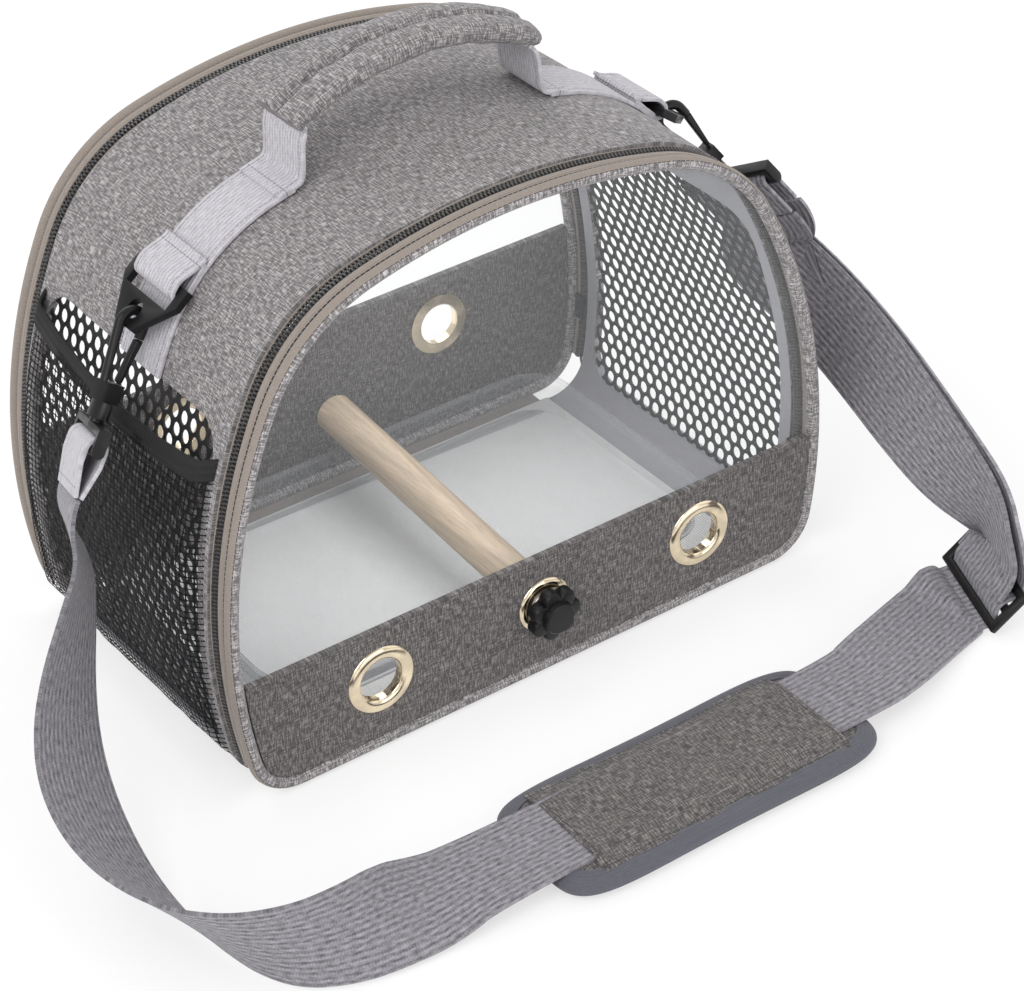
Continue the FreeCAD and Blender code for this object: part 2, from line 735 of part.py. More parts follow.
def make_perch():
    along = (0, 1, 0)
    stud = size("stud_diameter") / 2
    seat = size("perch_seat")
    washer = size("washer_thickness")
    washer_radius = size("washer_outer") / 2
    length = size("bag_depth") - size("perch_short")
    dowel = cylinder("dowel", size("perch_diameter") / 2, length, (0, seat, 0), along)
    socket = cylinder("dowel_socket", stud + FIT, size("stud_depth") + RUN, (0, seat, 0), along)
    node("perch", on_perch_axis(cut("perch_dowel", dowel, socket)))
    reach = size("stud_reach")
    rod = cylinder("stud_rod", stud, reach + seat + size("stud_depth"), (0, 0 - reach, 0), along)
    node("perch_stud", on_perch_axis(group("stud", rod)))

    def washer_ring(name, start):
        disc = cylinder(name + "_disc", washer_radius, washer, (0, start, 0), along)
        hole = cylinder(name + "_hole", stud + RUN, washer, (0, start, 0), along)
        return cut(name, disc, hole)

    inner = washer_ring("inner_washer", seat - washer)
    node("perch_washer", on_perch_axis(inner))
    knob = size("knob_seat")
    outer = washer_ring("outer_washer", 0 - knob)
    node("knob_washer", on_perch_axis(outer))
    rim = size("knob_rim")
    lobe = size("knob_lobe")
    pitch = size("knob_diameter") / 2 - lobe
    start = 0 - knob - rim
    hub = cylinder("knob_hub", pitch, rim, (0, start, 0), along)
    crown = size("knob_crown")
    cap = cylinder("knob_cap", size("knob_crown_diameter") / 2, crown + rim, (0, start - crown, 0), along)
    lobes = []
    count = 7
    for index in range(count):
        turn = 2 * math.pi * index / count
        place = (pitch * math.cos(turn), start, pitch * math.sin(turn))
        lobes.append(cylinder(f"knob_lobe_{index}", lobe, rim, place, along))
    thread = cylinder("knob_thread", stud + FIT, reach + RUN - knob, (0, 0 - reach - RUN, 0), along)
    star = cut("knob_star", fuse("knob_solid", hub, cap, *lobes), thread)
    node("star_knob", on_perch_axis(star))


# Loose tray
def make_tray():
    body = doc.addObject("PartDesign::Body", "tray_body")
    floor = SHELL_IN + size("board_thickness")
    half = WIDTH / 2 - size("tray_side")
    front = size("tray_front") - SHELL_EDGE
    rear = SHELL_EDGE - size("tray_rear")
    wall = size("tray_wall")
    flange = size("tray_flange")
    corner = size("tray_corner")

    def outline(name, height, grow):
        sketch = new_sketch(body, name, "XY_Plane", height)
        rounded_rectangle(
            sketch,
            (0 - half - grow, half + grow),
            (front - grow, rear + grow),
            corner + grow,
        )
        return sketch

    pad(body, "tray_block", outline("tray_outline", floor, 0.0), size("tray_height"), back=False)
    rim = floor + size("tray_height") - size("flange_thickness")
    pad(body, "tray_rim", outline("tray_rim_outline", rim, flange), size("flange_thickness"), back=False)
    hollow = body.newObject("PartDesign::Pocket", "tray_hollow")
    hollow.Profile = outline("tray_hollow_outline", floor + size("tray_height"), 0 - wall)
    bind(hollow, "Length", size("tray_height") - wall)
    node("tray", body)


# Handle
WEBBING = size("webbing_width") / 2
FORWARD = size("handle_forward")
WEBBING_OUT = 0 - (size("webbing_thickness") - SHELL_OUT + FIT)


def ring_bar(side):
    """Axis of the strap ring on one shoulder."""
    turn = math.radians(number(size("ring_angle")))
    reach = SHOULDER.value + number(size("ring_outset"))
    x = shoulder_at[0] + reach * math.cos(turn)
    return (side * x, -number(FORWARD), shoulder_at[1] + reach * math.sin(turn))


def make_webbing():
    strip = arch_ring("webbing_band", WEBBING_OUT, SHELL_OUT - FIT, 0 - WEBBING - FORWARD, WEBBING * 2)
    bore = size("ring_bar") * 0.75
    for label, side in SIDES:
        x, y, z = ring_bar(side)
        inner_end = size("riser_side")
        across = (0 - SIDEWAYS, 0 - inner_end) if side < 0 else (inner_end, SIDEWAYS)
        limits = box(
            f"{label}_webbing_limits",
            across,
            (0 - SIDEWAYS, SIDEWAYS),
            (size("mesh_top") + RUN, HEIGHT * 2),
        )
        sewn = common(f"{label}_sewn", strip, limits)
        start = (x, y - WEBBING, z)
        along = (0, 1, 0)
        roll = cylinder(f"{label}_loop", bore + size("webbing_thickness"), WEBBING * 2, start, along)
        hole = cylinder(f"{label}_loop_hole", bore, WEBBING * 2, start, along)
        node(f"{label}_webbing", cut(f"{label}_sewn_loop", fuse(f"{label}_rolled", sewn, roll), hole))


def roof_height(x):
    """Top of the sewn webbing at a distance from the middle of the roof."""
    reach = ROOF.value - number(WEBBING_OUT)
    return roof_at[1] + math.sqrt(reach**2 - x**2)


HANDLE_AXIS_HEIGHT = roof_height(number(size("riser_side"))) + number(RUN) + number(WEBBING)


def make_handle():
    radius = size("grip_radius")
    centre = size("bag_height") + size("grip_rise") - radius
    half_width = size("grip_width") / 2
    half_thick = size("grip_thickness") / 2
    section = doc.addObject("Sketcher::SketchObject", "grip_section")
    section.Placement = Placement(
        Vector(), Rotation(Vector(0, 1, 0), Vector(0, 0, 1), Vector(1, 0, 0), "XYZ")
    )
    rounded_rectangle(
        section,
        (0 - half_width - FORWARD, half_width - FORWARD),
        (centre + radius - half_thick, centre + radius + half_thick),
        size("grip_corner"),
    )
    grip = doc.addObject("Part::Revolution", "grip")
    grip.Source = section
    grip.Axis = (0, 1, 0)
    bind(grip, "Base.z", centre)
    bind(grip, "Angle", size("grip_angle"))
    grip.Symmetric = True
    grip.Solid = True
    node("handle_grip", grip)
    thickness = size("webbing_thickness")
    foot_x = size("riser_side")
    lean = size("riser_lean")
    top_x = number(foot_x - lean)
    outer_x = top_x + number(thickness)
    under = number(centre) + math.sqrt((radius - half_thick).value ** 2 - outer_x**2)
    foot = HANDLE_AXIS_HEIGHT - number(WEBBING)
    top = under - number(FIT) / 2
    for label, side in SIDES:
        body = doc.addObject("PartDesign::Body", f"{label}_riser_strip")
        sketch = new_sketch(body, f"{label}_riser_outline", "XZ_Plane", WEBBING + FORWARD)
        corners = [
            (foot_x, foot),
            (foot_x + thickness, foot),
            (foot_x + thickness - lean, top),
            (foot_x - lean, top),
        ]
        polygon(sketch, [(x * side, z) for x, z in corners])
        pad(body, f"{label}_riser_pad", sketch, WEBBING * 2)
        start = (0 - SIDEWAYS / 2, 0 - FORWARD, HANDLE_AXIS_HEIGHT)
        turn = cylinder(f"{label}_riser_turn", WEBBING, SIDEWAYS, start, (1, 0, 0))
        limits = (0 - SIDEWAYS, SIDEWAYS)
        upper = box(
            f"{label}_riser_upper", limits, limits, (HANDLE_AXIS_HEIGHT, HANDLE_AXIS_HEIGHT + SIDEWAYS)
        )
        rounded = common(f"{label}_rounded", body, fuse(f"{label}_riser_round", turn, upper))
        node(f"{label}_riser", rounded)


# Strap rings, snap hooks and swivel eyes
def unit(vector):
    length = math.sqrt(sum(part * part for part in vector))
    return tuple(part / length for part in vector)


def mixed(first, second, amount):
    return tuple(a + b * amount for a, b in zip(first, second))


def cross(a, b):
    return (
        a[1] * b[2] - a[2] * b[1],
        a[2] * b[0] - a[0] * b[2],
        a[0] * b[1] - a[1] * b[0],
    )


def ring_down(side):
    turn = math.radians(number(size("ring_hang_angle")))
    return (side * math.sin(turn), 0.0, -math.cos(turn))


def hook_bearing(side):
    """Centre of the hook's curl, with the wire in the middle of the ring hole."""
    hole = mixed(ring_bar(side), ring_down(side), number(size("ring_hole_drop")))
    return mixed(hole, HOOK_DOWN[side], number(size("hook_curl")))


HOOK_DOWN = {-1: unit((-0.59, -0.16, -0.79)), 1: unit((0.58, -0.16, -0.80))}
EYE_WIDTH = {-1: (-0.20, -0.88, 0.42), 1: (0.35, -0.75, 0.30)}


def dot(a, b):
    return sum(x * y for x, y in zip(a, b))


def square_to(vector, axis):
    """The part of a vector that is square to an axis, at unit length."""
    return unit(mixed(vector, axis, -dot(vector, axis)))


EYE_ALONG = {side: square_to(EYE_WIDTH[side], HOOK_DOWN[side]) for side in (-1, 1)}


def hook_frame(side):
    """Hook axis up along Z, with its curl in the XZ plane and the fixed leg on +X."""
    down = HOOK_DOWN[side]
    ring_face = cross(ring_down(side), (0.0, 1.0, 0.0))
    return frame(hook_bearing(side), cross(down, ring_face), tuple(-part for part in down))


def eye_frame(side):
    """Swivel axis up along Z, with the strap bar along Y."""
    down = HOOK_DOWN[side]
    return frame(hook_bearing(side), EYE_ALONG[side], tuple(-part for part in down))


COLLAR_FOOT = 0 - size("hook_length") - size("hook_body") - size("collar_height")
EYE_BAR = COLLAR_FOOT - size("eye_drop")
LOOP_END = EYE_BAR - size("loop_length")


def make_ring(label, side):
    body = doc.addObject("PartDesign::Body", f"{label}_ring_plate")
    thickness = size("ring_thickness")
    sketch = new_sketch(body, f"{label}_ring_outline", "YZ_Plane", 0 - thickness / 2)
    half = size("ring_width") / 2
    bar = size("ring_bar") / 2
    slot = size("ring_slot")
    foot = 0 - size("ring_reach")
    nose = size("ring_hole") + size("ring_nose")
    waist = 0 - slot * 0.7
    right = [(nose, foot), (half, waist), (half, bar)]
    left = [(0 - half, bar), (0 - half, waist), (0 - nose, foot)]
    polygon(sketch, left + right)
    inner = WEBBING + RUN
    polygon(sketch, [(0 - inner, 0 - bar), (inner, 0 - bar), (inner, 0 - slot), (0 - inner, 0 - slot)])
    centre = Vector(0, -number(size("ring_hole_drop")), 0)
    hole = sketch.addGeometry(Part.Circle(centre, Vector(0, 0, 1), number(size("ring_hole"))))
    dimension(sketch, "Radius", (hole,), size("ring_hole"))
    sketch.addConstraint(Sketcher.Constraint("PointOnObject", hole, 3, -2))
    level(sketch, "DistanceY", hole, 3, 0 - size("ring_hole_drop"))
    pad(body, f"{label}_ring_pad", sketch, thickness, back=False)
    up = tuple(-part for part in ring_down(side))
    body.Placement = frame(ring_bar(side), (0, 1, 0), up)
    node(f"{label}_ring", body)


def make_hook(label, side):
    wire = size("hook_wire")
    curl = size("hook_curl")
    length = size("hook_length")
    torus = doc.addObject("Part::Torus", f"{label}_curl")
    bind(torus, "Radius1", curl)
    bind(torus, "Radius2", wire)
    bind(torus, "Angle3", 180.0)
    torus.Placement = Placement(Vector(), Rotation(Vector(1, 0, 0), 90))
    spine = cylinder(f"{label}_spine", wire, length, (curl, 0, 0 - length))
    tip = cylinder(f"{label}_tip", wire, size("hook_tip"), (0 - curl, 0, 0 - size("hook_tip")))
    half = curl + wire
    thick = size("hook_body_thickness") / 2
    foot = 0 - length - size("hook_body")
    block = box(f"{label}_hook_block", (0 - half, half), (0 - thick, thick), (foot, 0 - length))
    collar = cylinder(f"{label}_collar", size("collar_radius"), size("collar_height"), (0, 0, COLLAR_FOOT))
    bore_depth = size("shank_depth") + RUN
    bore = cylinder(f"{label}_collar_bore", size("shank_radius") + RUN, bore_depth, (0, 0, COLLAR_FOOT))
    solid = fuse(f"{label}_hook_solid", torus, spine, tip, block, collar)
    hook = cut(f"{label}_hook_bored", solid, bore)
    hook.Placement = hook_frame(side)
    node(f"{label}_hook", hook)
    gate_half = size("gate_width") / 2
    bar = box(
        f"{label}_gate_bar",
        (0 - curl - gate_half, gate_half - curl),
        (0 - gate_half, gate_half),
        (0 - length + RUN * 2, 0 - size("hook_tip") - RUN),
    )
    gate = group(f"{label}_gate_solid", bar)
    gate.Placement = hook_frame(side)
    node(f"{label}_gate", gate)


def make_eye(label, side):
    bar = size("eye_bar")
    half = size("eye_width") / 2
    side_bar = size("eye_frame")
    top = COLLAR_FOOT - RUN * 5
    shoulder = top - side_bar
    shank_length = COLLAR_FOOT + size("shank_depth") - shoulder
    shank = cylinder(f"{label}_shank", size("shank_radius"), shank_length, (0, 0, shoulder))
    head = box(f"{label}_eye_head", (0 - bar, bar), (0 - half, half), (shoulder, top))
    legs = [
        box(f"{label}_eye_leg_{index}", (0 - bar, bar), limits, (EYE_BAR, top))
        for index, limits in enumerate(((0 - half, side_bar - half), (half - side_bar, half)))
    ]
    rod = cylinder(f"{label}_eye_rod", bar, half * 2, (0, 0 - half, EYE_BAR), (0, 1, 0))
    eye = fuse(f"{label}_eye_solid", shank, head, rod, *legs)
    eye.Placement = eye_frame(side)
    node(f"{label}_eye", eye)


def make_strap_loop(label, side):
    """Strap end turned round the eye bar. Only the left one is sewn shut."""
    inner = size("eye_bar") + RUN
    outer = inner + size("strap_thickness")
    half = size("loop_width") / 2
    start = (0, 0 - half, EYE_BAR)
    along = (0, 1, 0)
    roll = cylinder(f"{label}_roll", outer, half * 2, start, along)
    fold = box(f"{label}_fold", (0 - outer, outer), (0 - half, half), (LOOP_END, EYE_BAR))
    hole = cylinder(f"{label}_roll_hole", inner, half * 2, start, along)
    floor = LOOP_END + size("sewn_end") if side < 0 else LOOP_END
    room = box(f"{label}_fold_room", (0 - inner, inner), (0 - half, half), (floor, EYE_BAR))
    loop = cut(f"{label}_strap_fold", fuse(f"{label}_strap_turn", roll, fold), hole, room)
    loop.Placement = eye_frame(side)
    node(f"{label}_strap_loop", loop)


# Zip sliders, on the right side of the bag
SLIDER_TURN = math.asin((number(size("slider_height")) - side_at[1]) / SIDE.value)


def make_slider(end_name, end):
    """Two plates joined by a post between the rows, open towards the door."""
    half = size("slider_length") / 2
    plate = size("slider_plate")
    wide = size("slider_width") / 2
    teeth_top = 0 - size("teeth_inset")
    teeth_foot = teeth_top - size("teeth_thickness")
    outer = (teeth_top + RUN, teeth_top + RUN + plate)
    inner = (teeth_foot - RUN - plate, teeth_foot - RUN)
    post = size("slider_post") / 2
    bridge = size("slider_bridge")
    bridge_half = bridge / 2
    pin = bridge * 0.3
    name = f"{end_name}_slider"
    top = box(name + "_top", outer, (0 - wide, wide), (0 - half, half))
    foot = box(name + "_foot", inner, (0 - wide, wide), (0 - half, half))
    joining = box(name + "_post", (inner[0], outer[1]), (0 - post, post), (0 - half / 2, half / 2))
    loop = box(
        name + "_bridge",
        (outer[0], outer[1] + bridge),
        (0 - bridge_half, bridge_half),
        (0 - bridge_half, bridge_half),
    )
    axis = outer[1] + bridge_half
    bore = cylinder(name + "_bore", pin + FIT, bridge, (axis, 0 - bridge_half, 0), (0, 1, 0))
    slider = cut(name + "_body", fuse(name + "_solid", top, foot, joining, loop), bore)
    reach = SIDE.value
    place = (
        side_at[0] + reach * math.cos(SLIDER_TURN),
        end * number(ZIP_MIDDLE),
        side_at[1] + reach * math.sin(SLIDER_TURN),
    )
    up = (-math.sin(SLIDER_TURN), 0.0, math.cos(SLIDER_TURN))
    slider.Placement = frame(place, (0, 1, 0), up)
    node(f"{end_name}_zip_slider", slider)
    tab_half = size("pull_width") / 2
    thick = size("pull_thickness") / 2
    arm = bridge_half + RUN
    around = (axis - thick, axis + thick)
    pull = f"{end_name}_pull"
    rod = cylinder(pull + "_pin", pin, tab_half * 2, (axis, 0 - tab_half, 0), (0, 1, 0))
    shoulder = 0 - bridge
    arms = [
        box(f"{pull}_arm_{index}", around, limits, (shoulder, pin))
        for index, limits in enumerate(((0 - tab_half, 0 - arm), (arm, tab_half)))
    ]
    tab = box(pull + "_tab", around, (0 - tab_half, tab_half), (0 - size("pull_length"), shoulder))
    solid = fuse(pull + "_solid", rod, tab, *arms)
    solid.Placement = frame(place, (0, 1, 0), up)
    node(f"{end_name}_zip_pull", solid)


# Shoulder strap: middle of the strap and the way its width points, chosen by hand
BUCKLE_AT = (176.0, -171.0, 13.6)
BUCKLE_UP = unit((0.62, -0.28, 0.73))
BUCKLE_ALONG = unit(mixed((0.37, 0.89, 0.25), BUCKLE_UP, -0.163))
PAD_Y = number(size("pad_middle_y"))
PAD_TOP = RUN + size("pad_thickness")
STRAP_IN_PAD = number(PAD_TOP + RUN + size("strap_thickness") / 2)
STRAP_INTO_BUCKLE = unit((0.93, -0.30, 0.24))
STRAP_OUT_OF_BUCKLE = unit((0.07, -0.15, 0.99))
STRAP_MAIN = [
    ((-177.9, -31.2, 101.2), (-0.51, -0.69, 0.51)),
    ((-187.6, -38.8, 83.6), (-0.60, -0.53, 0.60)),
    ((-198.5, -47.4, 66.6), (-0.67, -0.37, 0.64)),
    ((-208.1, -59.1, 50.8), (-0.75, -0.22, 0.63)),
    ((-214.9, -75.2, 37.9), (-0.81, -0.13, 0.58)),
    ((-218.3, -95.0, 29.1), (-0.80, -0.12, 0.58)),
    ((-218.8, -116.3, 23.7), (-0.74, -0.16, 0.65)),
    ((-216.2, -137.9, 20.8), (-0.64, -0.19, 0.75)),
    ((-210.7, -159.1, 19.9), (-0.49, -0.21, 0.85)),
    ((-201.4, -178.3, 20.8), (-0.26, -0.15, 0.95)),
    ((-186.1, -192.5, 21.4), (0.00, 0.04, 1.00)),
    ((-166.0, -197.4, 20.4), (0.12, 0.34, 0.93)),
    ((-145.4, -194.6, 16.0), (0.07, 0.69, 0.72)),
    ((-125.4, -191.0, 10.2), (-0.03, 0.93, 0.37)),
    ((-105.0, PAD_Y, STRAP_IN_PAD), (0.0, 1.0, 0.0)),
    ((88.0, PAD_Y, STRAP_IN_PAD), (0.0, 1.0, 0.0)),
    ((105.2, -186.7, 11.6), (-0.24, 0.96, 0.12)),
    ((122.9, -179.8, 8.5), (-0.34, 0.93, 0.15)),
    ((142.0, -172.0, 5.0), (-0.20, 0.96, 0.13)),
]
STRAP_UPPER = [
    ((184.5, -174.0, 33.1), (-0.33, -0.83, 0.45)),
    ((186.3, -163.7, 43.5), (-0.11, -0.51, 0.85)),
    ((182.5, -140.3, 55.0), (0.24, -0.37, 0.90)),
    ((184.3, -113.4, 64.7), (0.41, -0.32, 0.86)),
    ((188.4, -85.7, 72.6), (0.48, -0.29, 0.83)),
    ((191.5, -57.8, 80.3), (0.49, -0.28, 0.83)),
    ((191.3, -30.9, 89.4), (0.48, -0.29, 0.83)),
    ((183.8, -10.2, 101.9), (0.52, -0.39, 0.76)),
]
LAYER_GAP = 4.8


def sections(stations):
    """Middle, width and face direction of a strap at each station, kept off the floor."""
    half = number(size("strap_width")) / 2
    thick = number(size("strap_thickness")) / 2
    result = []
    for index, (middle, across) in enumerate(stations):
        before = stations[max(index - 1, 0)][0]
        after = stations[min(index + 1, len(stations) - 1)][0]
        travel = unit(tuple(b - a for a, b in zip(before, after)))
        lean = sum(a * b for a, b in zip(across, travel))
        width = unit(mixed(across, travel, -lean))
        face = cross(travel, width)
        lowest = middle[2] - half * abs(width[2]) - thick * abs(face[2])
        lift = max(0.0, 2 * number(RUN) - lowest)
        result.append((mixed(middle, (0, 0, 1), lift), width, face))
    return result


def ribbon(name, stations):
    """A flat strap as a ruled loft through its cross-sections."""
    half = number(size("strap_width")) / 2
    thick = number(size("strap_thickness")) / 2
    outlines = []
    for middle, width, face in sections(stations):
        corners = []
        for along_width, along_face in ((1, 1), (-1, 1), (-1, -1), (1, -1)):
            place = mixed(mixed(middle, width, along_width * half), face, along_face * thick)
            corners.append(Vector(*place))
        outlines.append(Part.makePolygon(corners + corners[:1]))
    return feature(name, Part.makeLoft(outlines, True, True))


def eye_point(side, x, z):
    """A point on the middle line of a strap eye, x off its face and z along its swivel."""
    return tuple(eye_frame(side).multVec(Vector(x, 0, z)))


def leaving_eye(side, x):
    """Two stations that carry a strap straight on from its loop."""
    end = number(LOOP_END) - 2 * number(RUN)
    along = EYE_ALONG[side]
    return [(eye_point(side, x, end), along), (eye_point(side, x, end - number(size("strap_lead"))), along)]


def make_strap():
    past = number(size("buckle_height")) / 2 + 2 * number(RUN)
    along = tuple(-part for part in BUCKLE_ALONG)
    entry = mixed(BUCKLE_AT, BUCKLE_UP, -past)
    into = [(mixed(entry, STRAP_INTO_BUCKLE, -6), BUCKLE_ALONG), (entry, BUCKLE_ALONG)]
    node("strap_main", ribbon("main_ribbon", leaving_eye(-1, 0) + STRAP_MAIN + into))
    leg = number(size("eye_bar") + RUN + size("strap_thickness") / 2)
    outward = leg if eye_point(1, leg, 0)[0] > eye_point(1, -leg, 0)[0] else -leg
    leave = mixed(BUCKLE_AT, BUCKLE_UP, past + number(RUN))
    out_of = [(leave, along), (mixed(leave, STRAP_OUT_OF_BUCKLE, 4), along)]
    upper = out_of + STRAP_UPPER + leaving_eye(1, outward)[::-1]
    node("strap_upper", ribbon("upper_ribbon", upper))
    layer = sections(upper)[1 : 2 + len(STRAP_UPPER)]
    inner = [(mixed(middle, face, -LAYER_GAP), width) for middle, width, face in layer]
    tail = (mixed(mixed(BUCKLE_AT, BUCKLE_UP, 1), cross(BUCKLE_ALONG, BUCKLE_UP), -LAYER_GAP), along)
    node("strap_return", ribbon("return_ribbon", [tail] + inner + leaving_eye(1, -outward)[::-1]))


def make_buckle():
    half = size("buckle_length") / 2
    tall = size("buckle_height") / 2
    thick = size("buckle_thickness") / 2
    bar = size("buckle_bar")
    through = (0 - thick, thick)
    plate = box("buckle_plate", through, (0 - half, half), (0 - tall, tall))
    opening = (bar - half, half - bar)
    low = box("buckle_low_slot", through, opening, (bar - tall, 0 - bar / 2))
    high = box("buckle_high_slot", through, opening, (bar / 2, tall - bar))
    buckle = cut("buckle", plate, low, high)
    buckle.Placement = frame(BUCKLE_AT, BUCKLE_ALONG, BUCKLE_UP)
    node("strap_slider", buckle)


def make_pad():
    """Cushion with drawn-in edges and sides, and the sleeve that the strap runs through."""
    half = number(size("pad_length")) / 2
    wide = number(size("pad_width")) / 2
    corner = number(size("pad_corner"))
    waist = number(size("pad_waist"))

    def outline(inset, height):
        long, short, turn = half - inset, wide - inset, corner - inset
        reach, drop = long - turn, short - turn
        bow = turn / math.sqrt(2)

        def at(x, y):
            return Vector(x, PAD_Y + y, height)

        edges = []
        for sx, sy in ((1, 1), (-1, 1), (-1, -1), (1, -1)):
            from_side = at(sx * long, sy * drop)
            middle = at(sx * (reach + bow), sy * (drop + bow))
            to_front = at(sx * reach, sy * short)
            pair = (from_side, to_front) if sx * sy > 0 else (to_front, from_side)
            edges.append(Part.Arc(pair[0], middle, pair[1]).toShape())
            if sy * sx > 0:
                drawn_in = at(0, sy * (short - waist))
                edges.append(Part.Arc(to_front, drawn_in, at(-sx * reach, sy * short)).toShape())
            else:
                edges.append(Part.makeLine(from_side, at(sx * long, -sy * drop)))
        return Part.Wire(Part.__sortEdges__(edges))

    edge = number(size("pad_edge"))
    floor, top = number(RUN), number(PAD_TOP)
    sections = [outline(edge, floor), outline(0, (floor + top) / 2), outline(edge, top)]
    node("shoulder_pad", feature("pad_cushion", Part.makeLoft(sections, True, True)))
    sleeve_half = size("sleeve_length") / 2
    sleeve_wide = size("sleeve_width") / 2
    lane = size("strap_width") / 2 + RUN * 3
    middle = size("pad_middle_y")
    roof = PAD_TOP + size("sleeve_height")
    across = (0 - sleeve_half, sleeve_half)
    cover = box("sleeve_cover", across, (middle - sleeve_wide, middle + sleeve_wide), (PAD_TOP, roof))
    room = box("sleeve_room", across, (middle - lane, middle + lane), (PAD_TOP, roof - size("sleeve_roof")))
    node("pad_sleeve", cut("sleeve", cover, room))


make_shell()
make_nets()
make_pocket()
make_zips()
make_doors()
make_perch()
make_tray()
make_webbing()
make_handle()
for side_name, side_sign in SIDES:
    make_ring(side_name, side_sign)
    make_hook(side_name, side_sign)
    make_eye(side_name, side_sign)
    make_strap_loop(side_name, side_sign)
for door_name, door_sign in ENDS:
    make_slider(door_name, door_sign)
make_strap()
make_buckle()
make_pad()
doc.recompute()

faults = [item.Label for item in doc.Objects if {"Invalid", "Error"} & set(item.State)]
for item in nodes:
    if item.Shape.isNull() or not item.Shape.isValid() or not item.Shape.Solids:
        faults.append(item.Label)
if faults:
    raise RuntimeError("failed: " + ", ".join(sorted(set(faults))))

os.makedirs("parts", exist_ok=True)
for item in nodes:
    item.Shape.exportStep(f"parts/{item.Label}.step")
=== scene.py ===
"""Looks of the bird carrier bag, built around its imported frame."""

import json
import math

import bpy
import numpy as np
from mathutils import Matrix, Vector, noise


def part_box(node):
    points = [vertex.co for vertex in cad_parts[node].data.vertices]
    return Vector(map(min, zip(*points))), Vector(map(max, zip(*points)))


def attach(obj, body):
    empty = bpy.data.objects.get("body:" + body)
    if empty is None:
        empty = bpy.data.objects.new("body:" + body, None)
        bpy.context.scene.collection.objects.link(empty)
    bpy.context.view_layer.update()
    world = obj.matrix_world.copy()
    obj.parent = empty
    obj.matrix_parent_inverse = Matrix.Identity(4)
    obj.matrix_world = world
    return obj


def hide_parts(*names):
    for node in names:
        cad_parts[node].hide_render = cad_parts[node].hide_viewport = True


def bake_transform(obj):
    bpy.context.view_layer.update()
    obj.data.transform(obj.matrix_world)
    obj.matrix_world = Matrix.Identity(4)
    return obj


bl_info = {
    "name": "Bird Carrier Bag",
    "version": (1, 0, 0),
    "blender": (4, 5, 0),
    "location": "View3D > Sidebar > Carrier",
    "description": "Builds a fabric bird carrier bag around its frame",
    "category": "Object",
}

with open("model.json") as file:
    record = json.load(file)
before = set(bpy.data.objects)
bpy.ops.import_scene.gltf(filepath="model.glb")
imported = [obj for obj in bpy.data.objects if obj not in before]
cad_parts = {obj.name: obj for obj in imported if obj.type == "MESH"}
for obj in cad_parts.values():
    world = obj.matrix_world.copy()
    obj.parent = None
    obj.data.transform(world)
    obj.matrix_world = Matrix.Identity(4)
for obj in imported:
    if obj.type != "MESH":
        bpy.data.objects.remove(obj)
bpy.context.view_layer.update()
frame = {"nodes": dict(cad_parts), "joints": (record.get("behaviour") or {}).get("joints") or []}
NODES = frame["nodes"]
JOINTS = {joint["name"]: joint for joint in frame["joints"]}
ENDS = (("front", -1), ("rear", 1))
SIDES = (("left", -1), ("right", 1))
SIDE_NAMES = {side: name for name, side in SIDES}
WHITE = (1.0, 1.0, 1.0, 1.0)

# Points closer than this are welded into one
WELD = 0.00001
# Points along the flat floor of the arch, and along each of its arcs
FLAT_STEPS = 60
ARC_STEPS = 80
# Height of the middle of the bag, from which its layers face away
MIDDLE_HEIGHT = 0.1
# Side openings of the wrap: front to rear, floor to roof, and their corner radius
OPENING_ACROSS = (-0.068, 0.068)
OPENING_UP = (0.014, 0.166)
OPENING_CORNER = 0.014
# Layers of a zip, outer and inner edge, counted from the middle of the bag
DOOR_TAPE = (0.0860, 0.0812)
DOOR_TEETH = (0.0812, 0.0789)
SHELL_TEETH = (0.0793, 0.0770)
SHELL_TAPE = (0.0770, 0.0753)
TAPE_DEPTH = 0.002
TOOTH_HEIGHT = 0.0034
# Door sheets: their distance inside the arch, and their faces counted from the middle of the bag
DOOR_INSET = 0.0062
BAND_FACE = 0.0915
BAND_DEPTH = 0.003
BAND_BULGE = 0.0006
WINDOW_FACE = 0.0875
WINDOW_DEPTH = 0.0008
WINDOW_LAP = 0.004
# Eyelets of the doors as (across, up, outer radius, bore radius), and the crest of their rims
FRONT_EYELETS = ((-0.082, 0.035, 0.016, 0.010), (0.082, 0.035, 0.016, 0.010))
PERCH_EYELET = ((0.0, 0.035, 0.013, 0.007),)
REAR_EYELETS = ((-0.069, 0.060, 0.016, 0.010), (0.069, 0.060, 0.016, 0.010))
EYELET_CREST = 0.0927
# Thickness of the webbing and the strap, and a strap layer's distance from the middle of its eye bar
WEBBING_DEPTH = 0.0018
WEBBING_EDGE = 0.0004
STRAP_DEPTH = 0.0017
STRAP_LEG = 0.0039
# Two layers of the strap, one behind the other
LAYER_GAP = 0.0048


def srgb(red, green, blue):
    """A colour given as it looks on a screen, 0 to 255, as linear light."""
    parts = (red / 255, green / 255, blue / 255)
    return tuple(p / 12.92 if p <= 0.04045 else ((p + 0.055) / 1.055) ** 2.4 for p in parts)


def length(label, text, value):
    """A length that the panel shows."""
    return bpy.props.FloatProperty(
        name=label, description=text, default=value, min=0.0, unit="LENGTH", precision=4
    )


def colour(label, text, *levels):
    """A colour that the panel shows, given as it looks on a screen."""
    return bpy.props.FloatVectorProperty(
        name=label, description=text, default=srgb(*levels), size=3, min=0.0, max=1.0, subtype="COLOR"
    )


